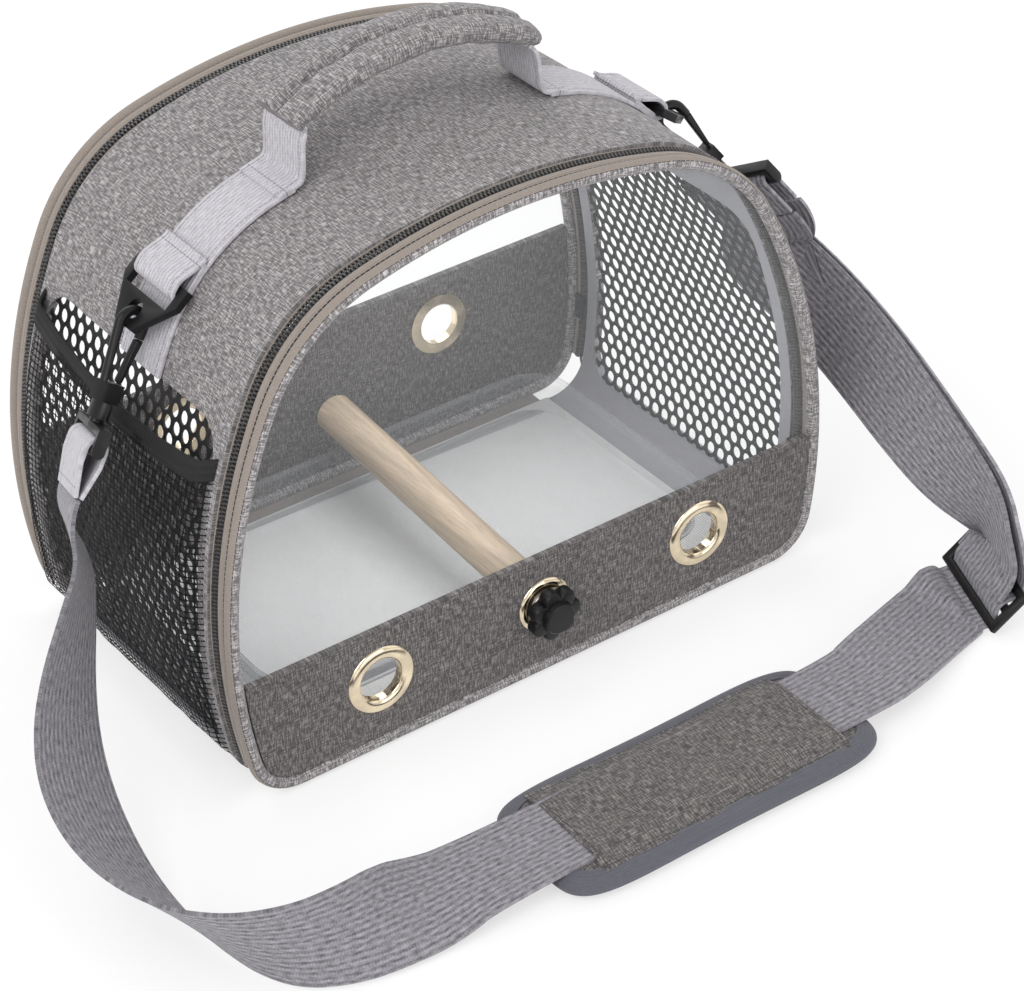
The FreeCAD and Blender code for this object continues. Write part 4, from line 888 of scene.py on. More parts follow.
class CARRIER_OT_piping(bpy.types.Operator):
    """Build the round piping of both doors"""

    bl_idname = "carrier.piping"
    bl_label = "Door piping"

    def execute(self, context):
        s = sizes()
        radius = s.piping / 2
        at, total = arch_loop(radius)
        for name, end in ENDS:
            y = end * (s.bag_depth / 2 - radius)

            def shape(u, v):
                x, z = at(u)
                angle = v * 2 * math.pi
                point = Vector((x, y, z)) + outward(at, u) * (radius * math.cos(angle))
                point.y += radius * math.sin(angle)
                return point, (u * total, v * 2 * math.pi * radius)

            tube = grid(f"{name}_piping_roll", 300, 14, shape, closed=True)
            finishes = [FINISHES["piping"], FINISHES["tape"]]
            place(tube, f"{name}_door", [f"{name}_piping"], "shell_fabric", finishes)
            cloth = tube.data.uv_layers.active.data
            for face in tube.data.polygons:
                angle = sum(cloth[loop].uv.y for loop in face.loop_indices) / face.loop_total / radius
                if math.cos(angle) > 0.1 and end * math.sin(angle) < 0.8:
                    face.material_index = 1
        return {"FINISHED"}


class CARRIER_OT_zips(bpy.types.Operator):
    """Build zip tapes, zip teeth and the cloth hinges under the doors"""

    bl_idname = "carrier.zips"
    bl_label = "Zips"

    def execute(self, context):
        for name, end in ENDS:
            door = f"{name}_door"
            self.tape(f"{name}_door_band", end, DOOR_TAPE, door, f"{name}_door_tape")
            self.tape(f"{name}_shell_band", end, SHELL_TAPE, "carrier", f"{name}_shell_tape")
            self.teeth(f"{name}_door_row", end, DOOR_TEETH, door, f"{name}_door_teeth", 0.0)
            self.teeth(f"{name}_shell_row", end, SHELL_TEETH, "carrier", f"{name}_shell_teeth", 0.5)
            self.strip(name)
        return {"FINISHED"}

    def tape(self, name, end, span, body, node):
        """Tape of one zip half, slightly domed."""
        at, total = arch_span(0.0015, 0.016)
        outer, inner = span
        dome = 0.17 * (outer - inner)

        def shape(u, v):
            x, z = at(u)
            y = end * (outer + (inner - outer) * v)
            rise = outward(at, u) * (dome * math.sin(math.pi * v))
            return Vector((x, y, z)) + rise, (v * (outer - inner), u * total)

        band = grid(name, 260, 8, shape)
        facing(band, from_middle)
        thicken(band, TAPE_DEPTH)
        place(band, body, [node], "tape", FINISHES["tape"])

    def teeth(self, name, end, span, body, node, phase):
        """Copies of one bevelled tooth along the arch."""
        s = sizes()
        outer, inner = span
        at, total = arch_span(0.0008, 0.0165)
        bpy.ops.object.select_all(action="DESELECT")
        bpy.ops.mesh.primitive_cube_add(size=1.0)
        tooth = bpy.context.object
        apply(tooth, "BEVEL", width=0.16, segments=1)
        corners = np.array([vertex.co for vertex in tooth.data.vertices])
        faces = [tuple(face.vertices) for face in tooth.data.polygons]
        bpy.data.objects.remove(tooth)
        count = int(total / s.tooth_pitch)
        scale = np.array((s.tooth_pitch * 0.56, outer - inner, TOOTH_HEIGHT))
        points, rows = [], []
        for index in range(count):
            share = min(1.0, (index + phase) / count)
            x, z = at(share)
            out = outward(at, share)
            along = Vector((0, 1, 0)).cross(out)
            middle = Vector((x, end * (outer + inner) / 2, z)) - out * (TOOTH_HEIGHT / 2)
            turn = np.array((along, (0, 1, 0), out))
            first = len(points)
            points.extend((corners * scale) @ turn + np.array(middle))
            rows.extend(tuple(corner + first for corner in face) for face in faces)
        piece = from_faces(name, [tuple(point) for point in points], rows)
        edit(piece, (bpy.ops.mesh.normals_make_consistent, {"inside": False}))
        place(piece, body, [node], "teeth", FINISHES["teeth"], smooth=30)

    def strip(self, name):
        """Cloth hinge under a door, which sags a little."""
        sag = 0.0003
        low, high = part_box(f"{name}_hinge_strip")

        def shape(u, v):
            x = low.x + (high.x - low.x) * u
            y = low.y + (high.y - low.y) * v
            return Vector((x, y, high.z - sag * math.sin(math.pi * v))), (y, x)

        strip = grid(f"{name}_cloth_hinge", 60, 6, shape)
        facing(strip, lambda point: Vector((0, 0, 1)))
        thicken(strip, high.z - low.z - sag)
        place(strip, "carrier", [f"{name}_hinge_strip"], "tape", FINISHES["tape"])


class CARRIER_OT_doors(bpy.types.Operator):
    """Build the padded bands, clear windows and eyelets of both doors"""

    bl_idname = "carrier.doors"
    bl_label = "Doors"

    def execute(self, context):
        s = sizes()
        self.band("front", -1, s.front_band, FRONT_EYELETS + PERCH_EYELET)
        self.band("rear", 1, s.rear_band, REAR_EYELETS)
        self.window("front", -1, s.front_band)
        self.window("rear", 1, s.rear_band)
        self.eyelets("front", -1, FRONT_EYELETS, "front_eyelets", "front_eyelet_rings")
        self.eyelets("front", -1, PERCH_EYELET, "perch_eyelet", "perch_eyelet_ring")
        self.eyelets("rear", 1, REAR_EYELETS, "rear_eyelets", "rear_eyelet_rings")
        return {"FINISHED"}

    def band(self, name, end, top, holes):
        """Padded band of a door, with holes for its eyelets."""
        half = half_width(DOOR_INSET)

        def shape(u, v):
            z = DOOR_INSET + (top - DOOR_INSET) * v**1.5
            x = (2 * u - 1) * half(z)
            edge = min(1.0, 4 * v, 12 * (1 - v), 20 * u, 20 * (1 - u))
            bulge = BAND_BULGE * math.sin(edge * math.pi / 2)
            return Vector((x, end * (BAND_FACE - BAND_BULGE + bulge), z)), (x, z)

        band = grid(f"{name}_padded_band", 150, 40, shape)
        facing(band, lambda point: Vector((0, end, 0)))
        thicken(band, BAND_DEPTH)
        for x, z, _, bore in holes:
            bpy.ops.object.select_all(action="DESELECT")
            bpy.ops.mesh.primitive_cylinder_add(
                vertices=48,
                radius=bore + 0.0016,
                depth=0.02,
                location=(x, end * 0.09, z),
                rotation=(math.pi / 2, 0, 0),
            )
            cut(band, bpy.context.object)
        place(band, f"{name}_door", [f"{name}_band"], "band_fabric", FINISHES["band"])

    def window(self, name, end, band):
        """Clear sheet that fills the arch above a band."""
        low = band - WINDOW_LAP
        right = [(half_width(DOOR_INSET)(low), low)]
        right += [(x, z) for x, z in arch_right(DOOR_INSET) if z > low]
        left = [(-x, z) for x, z in right[::-1][1:]]
        outline = [(x, end * WINDOW_FACE, z) for x, z in right + left]
        sheet = plate(f"{name}_clear_sheet", outline, (0, end * WINDOW_DEPTH, 0))
        place(sheet, f"{name}_door", [f"{name}_window"], "clear", FINISHES["clear"])

    def eyelets(self, name, end, rings, node, label):
        """Rolled metal eyelets, with the washer behind the band."""
        pieces = []
        for x, z, outer, bore in rings:
            width = outer - bore
            profile = []
            for step in range(13):
                turn = math.pi * step / 12
                radius = (outer + bore) / 2 + width / 2 * math.cos(turn)
                profile.append((radius, EYELET_CREST - 0.0016 + 0.0016 * math.sin(turn)))
            profile += [(bore, 0.0874), (bore + 0.0009, 0.0873), (outer - 0.001, 0.0876)]
            profile += [(outer - 0.001, 0.0884), (bore + 0.0013, 0.0884), (bore + 0.0013, 0.0910)]
            centre = Vector((x, 0, z))
            pieces.append(lathe(f"{label}_{len(pieces)}", profile, centre, (0, end, 0), 72))
        whole = join(pieces, label)
        place(whole, f"{name}_door", [node], "eyelet", FINISHES["gold"], smooth=50)


def join(pieces, name):
    """Several pieces as one."""
    bpy.ops.object.select_all(action="DESELECT")
    for piece in pieces:
        piece.select_set(True)
    bpy.context.view_layer.objects.active = pieces[0]
    if len(pieces) > 1:
        bpy.ops.object.join()
    return rename(pieces[0], name)


class CARRIER_OT_perch(bpy.types.Operator):
    """Build the perch and its star knob"""

    bl_idname = "carrier.perch"
    bl_label = "Perch"

    def execute(self, context):
        tilt = math.radians(4.5)
        back = Vector((0, math.cos(tilt), math.sin(tilt)))
        seat = Vector((0, -0.090, 0.035))
        radius, start, end = 0.009, 0.0056, 0.1636
        profile = [(0.0032, start), (radius - 0.001, start), (radius, start + 0.001)]
        profile += [(radius, start + (end - start) * step / 12) for step in range(1, 12)]
        profile += [(radius, end - 0.0015), (radius - 0.0015, end), (0.00001, end), (0.00001, start + 0.016)]
        profile += [(0.0032, start + 0.016)]
        dowel = lathe("dowel", profile, seat, back, 48)
        place(dowel, "front_door", ["perch"], "wood", FINISHES["wood"])
        self.knob(seat, -back)
        steel = (("perch_washer", "front_door"), ("knob_washer", "knob_washer"), ("perch_stud", "front_door"))
        for node, body in steel:
            place(rounded_copy(node, 0.0003), body, [node], "steel", FINISHES["steel"])
        return {"FINISHED"}

    def knob(self, seat, out):
        """Seven rounded lobes below a low crown."""
        turn = Vector((0, 0, 1)).rotation_difference(out).to_matrix()
        levels = [
            (0.0034, 0.0049, 0.0),
            (0.0086, 0.0049, 0.0),
            (0.0110, 0.0049, 1.0),
            (0.0117, 0.0056, 1.0),
            (0.0117, 0.0098, 1.0),
            (0.0112, 0.0107, 1.0),
            (0.0098, 0.0110, 0.7),
            (0.0076, 0.0111, 0.1),
            (0.0073, 0.0132, 0.0),
            (0.0066, 0.0138, 0.0),
            (0.0010, 0.0139, 0.0),
            (0.00001, 0.0139, 0.0),
        ]
        rows = len(levels) - 1

        def shape(u, v):
            radius, height, lobe = levels[round(v * rows)]
            angle = u * 2 * math.pi
            wave = abs(math.cos(3.5 * angle))
            reach = radius + lobe * (0.0008 - 0.0030 * (1 - wave) ** 1.3)
            local = Vector((reach * math.cos(angle), reach * math.sin(angle), height))
            return seat + turn @ local, (u * 0.05, height)

        knob = grid("knob_lobes", 140, rows, shape, closed=True)
        place(knob, "star_knob", ["star_knob"], "black", FINISHES["black"], smooth=35)


# Sideways place of the webbing below the grip, and its height above the roof strip
RISER_BENDS = (
    (0.0700, -0.0024),
    (0.0660, -0.0014),
    (0.0618, -0.0004),
    (0.0590, 0.0006),
    (0.0580, 0.0040),
    (0.0577, 0.0100),
    (0.0572, 0.0160),
    (0.0556, 0.0210),
    (0.0520, 0.0242),
    (0.0478, 0.0264),
)


class CARRIER_OT_handle(bpy.types.Operator):
    """Build the sewn webbing, the risers and the padded grip"""

    bl_idname = "carrier.handle"
    bl_label = "Handle"

    def execute(self, context):
        for name, side in SIDES:
            self.webbing(name, side)
            self.riser(name, side)
        self.grip()
        return {"FINISHED"}

    def webbing(self, name, side):
        """Strip sewn over the shoulder, with the doubled end that holds the ring."""
        s = sizes()
        low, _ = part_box(f"{name}_webbing")
        run = [Vector((x, 0, z)) for x, z in arch_right(-0.0021) if x > 0.0615 and z > low.z][::-1]
        bar = ring_bar(side)
        bar = Vector((abs(bar.x), 0, bar.z))
        foot = min(run, key=lambda point: (point - bar).length)
        out = (bar - foot).normalized()
        down = Vector((out.z, 0, -out.x))
        fold = []
        for step in range(11):
            share = step / 10
            fold.append(bar + down * (0.014 * share - 0.016) + out * (0.0074 * ease(share) - 0.0042))
        for step in range(1, 15):
            turn = math.radians(200 * step / 14)
            fold.append(bar + (out * math.cos(turn) + down * math.sin(turn)) * 0.0034)
        fold.append(bar - down * 0.007 - out * 0.0042)
        fold.append(bar - down * 0.014 - out * 0.0050)
        pieces = []
        for label, line in (("strip", run), ("fold", fold)):
            steps = running(line)

            def shape(u, v, line=line, steps=steps):
                along = v * steps[-1]
                x = float(np.interp(along, steps, [point.x for point in line]))
                z = float(np.interp(along, steps, [point.z for point in line]))
                across = (u - 0.5) * s.webbing_width
                return Vector((side * x, across - s.handle_forward, z)), (across, along)

            strip = grid(f"{name}_webbing_{label}", 8, 70, shape)
            if label == "strip":
                facing(strip, from_middle)
            else:
                facing(strip, lambda point: Vector((point.x - side * bar.x, 0, point.z - bar.z)))
            thicken(strip, WEBBING_DEPTH, offset=-1.0 if label == "strip" else 0.0, edge=WEBBING_EDGE)
            pieces.append(strip)
        whole = join(pieces, f"{name}_sewn_webbing")
        place(whole, "carrier", [f"{name}_webbing"], "webbing", FINISHES["webbing"])

    def riser(self, name, side):
        """Webbing that leaves the roof and runs up into the grip."""
        s = sizes()
        low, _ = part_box(f"{name}_riser")
        line = spline([Vector((x, 0, low.z + up)) for x, up in RISER_BENDS])
        steps = running(line)

        def shape(u, v):
            index = round(v * (len(line) - 1))
            tucked = clamp((0.0560 - line[index].x) / 0.003)
            across = (u - 0.5) * s.webbing_width * (1 - 0.2 * tucked)
            point = Vector((side * line[index].x, across - s.handle_forward, line[index].z))
            return point, (across, steps[index])

        strip = grid(f"{name}_riser_webbing", 8, len(line) - 1, shape)
        facing(strip, lambda point: Vector((side, 0, 0)))
        thicken(strip, WEBBING_DEPTH, edge=WEBBING_EDGE)
        dress(strip, FINISHES["webbing"])
        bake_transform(strip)
        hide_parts(f"{name}_riser")

    def grip(self):
        """Flat padded strap, drawn in along the seam on its top."""
        s = sizes()
        _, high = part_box("handle_grip")
        radius, middle = 0.115, 0.266
        centre = middle - radius
        reach = math.asin(high.x / (radius + 0.008))
        section = []
        for step in range(37):
            across = 0.015 * math.cos(math.pi * step / 36)
            crown = 0.0014 + 0.0052 * (1 - abs(across / 0.0151) ** 5) ** 0.5
            section.append((across, crown - 0.0028 * math.exp(-((across / 0.0021) ** 2))))
        for step in range(1, 18):
            across = -0.015 * math.cos(math.pi * step / 18)
            section.append((across, 0.0014 - 0.0050 * (1 - abs(across / 0.0151) ** 5) ** 0.5))
        section.append(section[0])
        steps = running(section)
        rows = len(section) - 1

        def shape(u, v):
            turn = (u - 0.5) * 2 * reach
            index = round(v * rows)
            across, up = section[index]
            end = abs(u - 0.5) * 2
            slim = 1 - 0.15 * end**6
            if end > 0.996:
                across *= 0.96
                slim *= 0.85
            out = radius + 0.0014 + (up - 0.0014) * slim
            point = Vector((out * math.sin(turn), across - s.handle_forward, centre + out * math.cos(turn)))
            return point, (turn * radius, steps[index] - steps[18])

        grip = grid("padded_grip", 90, rows, shape, closed=True)
        edit(grip, (bpy.ops.mesh.fill_holes, {"sides": 80}), (bpy.ops.mesh.normals_make_consistent, {}))
        ripple(grip, 0.0007, 0.012, 5.0)
        place(grip, "handle", ["handle_grip"], "shell_fabric", FINISHES["grip"], smooth=60)


def ring_bar(side):
    """Middle of a strap ring's bar."""
    return Vector(JOINTS[SIDE_NAMES[side] + "_ring_swing"]["pos_m"])


class CARRIER_OT_nets(bpy.types.Operator):
    """Build the side nets, the mesh pocket and its elastic"""

    bl_idname = "carrier.nets"
    bl_label = "Nets and pocket"

    def execute(self, context):
        for name, side in SIDES:
            self.net(name, side)
        self.pocket()
        return {"FINISHED"}

    def net(self, name, side):
        """Honeycomb of holes in a curved sheet."""
        s = sizes()
        pitch = s.net_pitch
        half = half_width(0.0022)
        row_step = pitch * math.sqrt(3) / 2
        columns = int(0.155 / pitch)
        rows = int(0.165 / row_step)
        points, faces, index = [], [], {}

        def corner(y, z):
            key = (round(y * 20000), round(z * 20000))
            if key not in index:
                index[key] = len(points)
                points.append((side * half(z), y, z))
            return index[key]

        radius = pitch / math.sqrt(3)
        for row in range(rows):
            for column in range(columns):
                y = (column - (columns - 1) / 2 + (0.25 if row % 2 else -0.25)) * pitch
                z = 0.0905 + (row - (rows - 1) / 2) * row_step
                ring = []
                for step in range(6):
                    turn = math.radians(30 + 60 * step)
                    ring.append(corner(y + radius * math.cos(turn), z + radius * math.sin(turn)))
                faces.append(ring)
        net = from_faces(f"{name}_side_net", points, faces)
        merge(net, faces_out=False)
        facing(net, lambda point: Vector((side, 0, 0)))
        strands = {"thickness": pitch * 0.088, "use_individual": True, "use_even_offset": True}
        edit(net, (bpy.ops.mesh.inset, strands), (bpy.ops.mesh.delete, {"type": "FACE"}))
        apply(net, "SUBSURF", levels=1, render_levels=1)
        thicken(net, 0.0009)
        place(net, "carrier", [f"{name}_mesh_panel"], "net", FINISHES["net"])

    def pocket(self):
        """Slack mesh pocket, and the elastic that sags along its mouth."""
        half = half_width(-0.0058)
        inner = half_width(0.0)
        y_half = 0.0725
        low = 0.0145
        hem_width = 0.009

        def mouth(y):
            return 0.1465 + 0.052 * y + 1.66 * y * y

        def shape(u, v):
            y = (u - 0.5) * 2 * y_half
            z = low + (mouth(y) - low) * v
            rim = math.sin(min(1.0, (1 - abs(2 * u - 1)) * 9, v * 9) * math.pi / 2)
            fold = noise.noise(Vector((y * 30, z * 16, 3.1)))
            fold += 0.5 * noise.noise(Vector((y * 80, z * 50, 7.7)))
            x = inner(z) + (half(z) - inner(z)) * rim + 0.0020 * fold * rim
            return Vector((-x, y, z)), (y, z)

        pocket = grid("mesh_pocket", 130, 110, shape)
        facing(pocket, lambda point: Vector((-1, 0, 0)))
        thicken(pocket, 0.00012)
        place(pocket, "carrier", ["left_mesh_pocket"], "pocket", FINISHES["pocket"])

        def hem(u, v):
            y = (u - 0.5) * 2 * y_half
            z = mouth(y) + hem_width * (v - 0.5)
            rim = math.sin(min(1.0, (1 - abs(2 * u - 1)) * 9) * math.pi / 2)
            gather = 0.0009 * noise.noise(Vector((y * 45, 0, 1)))
            x = inner(z) + (half(z) - inner(z)) * rim + gather * rim + 0.0006 * math.sin(math.pi * v)
            return Vector((-x, y, z)), (hem_width * v, y)

        band = grid("pocket_hem", 160, 8, hem)
        facing(band, lambda point: Vector((-1, 0, 0)))
        thicken(band, 0.0014, edge=0.0003)
        place(band, "carrier", ["left_pocket_elastic"], "pocket", FINISHES["elastic"])


class CARRIER_OT_floor(bpy.types.Operator):
    """Finish the floor board and the clear tray"""

    bl_idname = "carrier.floor"
    bl_label = "Board and tray"

    def execute(self, context):
        board = rounded_copy("base_board", 0.0008)
        place(board, "carrier", ["base_board"], "board", FINISHES["board"])
        tray = rounded_copy("tray", 0.0005, angle=50)
        place(tray, "carrier", ["tray"], "tray", FINISHES["tray"])
        return {"FINISHED"}


class CARRIER_OT_hardware(bpy.types.Operator):
    """Finish rings, hooks, swivels, the strap slider and the zip pulls"""

    bl_idname = "carrier.hardware"
    bl_label = "Hardware"

    def execute(self, context):
        for name, side in SIDES:
            self.finish(f"{name}_ring", f"{name}_ring", 0.0010, "black", "black")
            for node in (f"{name}_hook", f"{name}_gate"):
                self.draw_in(self.finish(node, node, 0.0007, "hook", "hook_metal"), name)
            self.finish(f"{name}_eye", f"{name}_swivel", 0.0008, "hook", "hook_metal")
            self.strap_loop(name, side)
        for name, _ in ENDS:
            for node in (f"{name}_zip_slider", f"{name}_zip_pull"):
                self.finish(node, node, 0.0005, "hook", "hook_metal")
        self.finish("strap_slider", "strap_slider", 0.0009, "black", "black")
        return {"FINISHED"}

    def finish(self, node, body, edge, finish, slot):
        """A node's own shape with broken edges and a material."""
        return place(rounded_copy(node, edge), body, [node], slot, FINISHES[finish])

    def draw_in(self, piece, name):
        """Narrow a hook from its curl down to its swivel."""
        bearing = Vector(JOINTS[f"{name}_eye_turn"]["pos_m"])
        up = Vector(JOINTS[f"{name}_eye_turn"]["axis"]).normalized()
        aside = Vector(JOINTS[f"{name}_gate_open"]["axis"]).cross(up).normalized()
        for vertex in piece.data.vertices:
            reach = vertex.co - bearing
            share = ease(clamp((-reach.dot(up) - 0.002) / 0.024))
            vertex.co -= aside * (reach.dot(aside) * 0.42 * share)
        piece.data.update()

    def strap_loop(self, name, side):
        """Strap end folded round the eye bar, sewn shut on the left."""
        bearing, up, along, face = eye_axes(side)
        bar = bearing - up * 0.0495
        leg = STRAP_LEG
        foot = 0.0011 if side < 0 else leg
        line = [(foot, 0.0200), ((foot + leg) / 2, 0.0130), (leg, 0.0060)]
        for step in range(13):
            turn = math.pi * step / 12
            line.append((leg * math.cos(turn), -leg * math.sin(turn)))
        line += [(-off, drop) for off, drop in line[2::-1]]
        steps = running(line)
        rows = len(line) - 1

        def shape(u, v):
            index = round(v * rows)
            off, drop = line[index]
            across = (u - 0.5) * 0.038
            return bar + face * off - up * drop + along * across, (across, steps[index])

        loop = grid(f"{name}_strap_turn", 10, rows, shape)
        facing(loop, lambda point: point - bar)
        thicken(loop, WEBBING_DEPTH, offset=0.0, edge=WEBBING_EDGE)
        finish = "webbing" if side < 0 else "strap"
        place(loop, f"{name}_swivel", [f"{name}_strap_loop"], "webbing", FINISHES[finish])


# Direction of the strap's width at each eye
EYE_WIDTH = {-1: (-0.20, -0.88, 0.42), 1: (0.35, -0.75, 0.30)}


def eye_axes(side):
    """Bearing of a strap eye, the way up its hook, the strap's width there and its face."""
    joint = JOINTS[SIDE_NAMES[side] + "_eye_turn"]
    bearing, up = Vector(joint["pos_m"]), Vector(joint["axis"])
    along = Vector(EYE_WIDTH[side])
    along = (along - up * along.dot(up)).normalized()
    return bearing, up, along, along.cross(up)


# Strap and pad

# The strap from its left eye to the slider: points of its middle, and the direction of its width there
STRAP_ROUTE = [
    ((-0.1779, -0.0312, 0.1012), (-0.51, -0.69, 0.51)),
    ((-0.1876, -0.0388, 0.0836), (-0.60, -0.53, 0.60)),
    ((-0.1985, -0.0474, 0.0666), (-0.67, -0.37, 0.64)),
    ((-0.2081, -0.0591, 0.0508), (-0.75, -0.22, 0.63)),
    ((-0.2149, -0.0752, 0.0379), (-0.81, -0.13, 0.58)),
    ((-0.2183, -0.0950, 0.0291), (-0.80, -0.12, 0.58)),
    ((-0.2188, -0.1163, 0.0237), (-0.74, -0.16, 0.65)),
    ((-0.2162, -0.1379, 0.0208), (-0.64, -0.19, 0.75)),
    ((-0.2107, -0.1591, 0.0199), (-0.49, -0.21, 0.85)),
    ((-0.2014, -0.1783, 0.0208), (-0.26, -0.15, 0.95)),
    ((-0.1861, -0.1925, 0.0214), (0.00, 0.04, 1.00)),
    ((-0.1660, -0.1974, 0.0204), (0.12, 0.34, 0.93)),
    ((-0.1454, -0.1946, 0.0160), (0.07, 0.69, 0.72)),
    ((-0.1254, -0.1910, 0.0102), (-0.03, 0.93, 0.37)),
    ((-0.1050, -0.1900, 0.0103), (0.0, 1.0, 0.0)),
    ((0.0880, -0.1900, 0.0103), (0.0, 1.0, 0.0)),
    ((0.1052, -0.1867, 0.0116), (-0.24, 0.96, 0.12)),
    ((0.1229, -0.1798, 0.0085), (-0.34, 0.93, 0.15)),
    ((0.1420, -0.1720, 0.0050), (-0.20, 0.96, 0.13)),
]
# The slider: its middle, the way up its frame, along its bar and off its face
BUCKLE = Vector((0.1760, -0.1710, 0.0136))
BUCKLE_UP = Vector((0.62, -0.28, 0.73)).normalized()
BUCKLE_ALONG = (Vector((0.37, 0.89, 0.25)) - BUCKLE_UP * 0.163).normalized()
BUCKLE_FACE = BUCKLE_ALONG.cross(BUCKLE_UP)
# The strap's way into the slider and out of it
INTO_BUCKLE = Vector((0.93, -0.30, 0.24)).normalized()
OUT_OF_BUCKLE = Vector((0.07, -0.15, 0.99)).normalized()
# The strap from the slider to its right eye, as above
STRAP_FOLD = [
    ((0.1845, -0.1740, 0.0331), (-0.33, -0.83, 0.45)),
    ((0.1863, -0.1637, 0.0435), (-0.11, -0.51, 0.85)),
    ((0.1825, -0.1403, 0.0550), (0.24, -0.37, 0.90)),
    ((0.1843, -0.1134, 0.0647), (0.41, -0.32, 0.86)),
    ((0.1884, -0.0857, 0.0726), (0.48, -0.29, 0.83)),
    ((0.1915, -0.0578, 0.0803), (0.49, -0.28, 0.83)),
    ((0.1913, -0.0309, 0.0894), (0.48, -0.29, 0.83)),
    ((0.1838, -0.0102, 0.1019), (0.52, -0.39, 0.76)),
]


def spline(points):
    """Points along a smooth spline that has the given points as its controls."""
    curve = bpy.data.curves.new("route", "CURVE")
    curve.dimensions = "3D"
    line = curve.splines.new("NURBS")
    line.points.add(len(points) - 1)
    for knot, point in zip(line.points, points):
        knot.co = (*point, 1.0)
    line.order_u = 3
    line.use_endpoint_u = True
    line.resolution_u = 10
    holder = bpy.data.objects.new("route", curve)
    bpy.context.scene.collection.objects.link(holder)
    bpy.context.view_layer.update()
    mesh = bpy.data.meshes.new_from_object(holder)
    result = [vertex.co.copy() for vertex in mesh.vertices]
    bpy.data.objects.remove(holder)
    bpy.data.meshes.remove(mesh)
    return result


def ribbon(name, route, width, depth):
    """A flat strap along a route of points and width directions."""
    points = [Vector(point) for point, _ in route]
    aside = [point + Vector(across) * 0.01 for point, (_, across) in zip(points, route)]
    middle, edge = spline(points), spline(aside)
    count = len(middle)
    steps = running(middle)
    across = []
    for index in range(count):
        travel = (middle[min(index + 1, count - 1)] - middle[max(index - 1, 0)]).normalized()
        direction = edge[index] - middle[index]
        across.append((direction - travel * direction.dot(travel)).normalized())
        rest = abs(across[-1].z) * width / 2 + depth / 2 + 0.0003
        middle[index].z = max(middle[index].z, rest)

    def shape(u, v):
        index = round(v * (count - 1))
        return middle[index] + across[index] * ((u - 0.5) * width), ((u - 0.5) * width, steps[index])

    strap = grid(name, 10, count - 1, shape)
    thicken(strap, depth, offset=0.0)
    return strap, middle, steps[-1]


def leaving_eye(side, offset):
    """Two route points, with the strap's width, that carry it straight on from its loop."""
    bearing, up, along, face = eye_axes(side)
    start = bearing - up * 0.0701 + face * offset
    return [(start, along), (start - up * 0.009, along)]


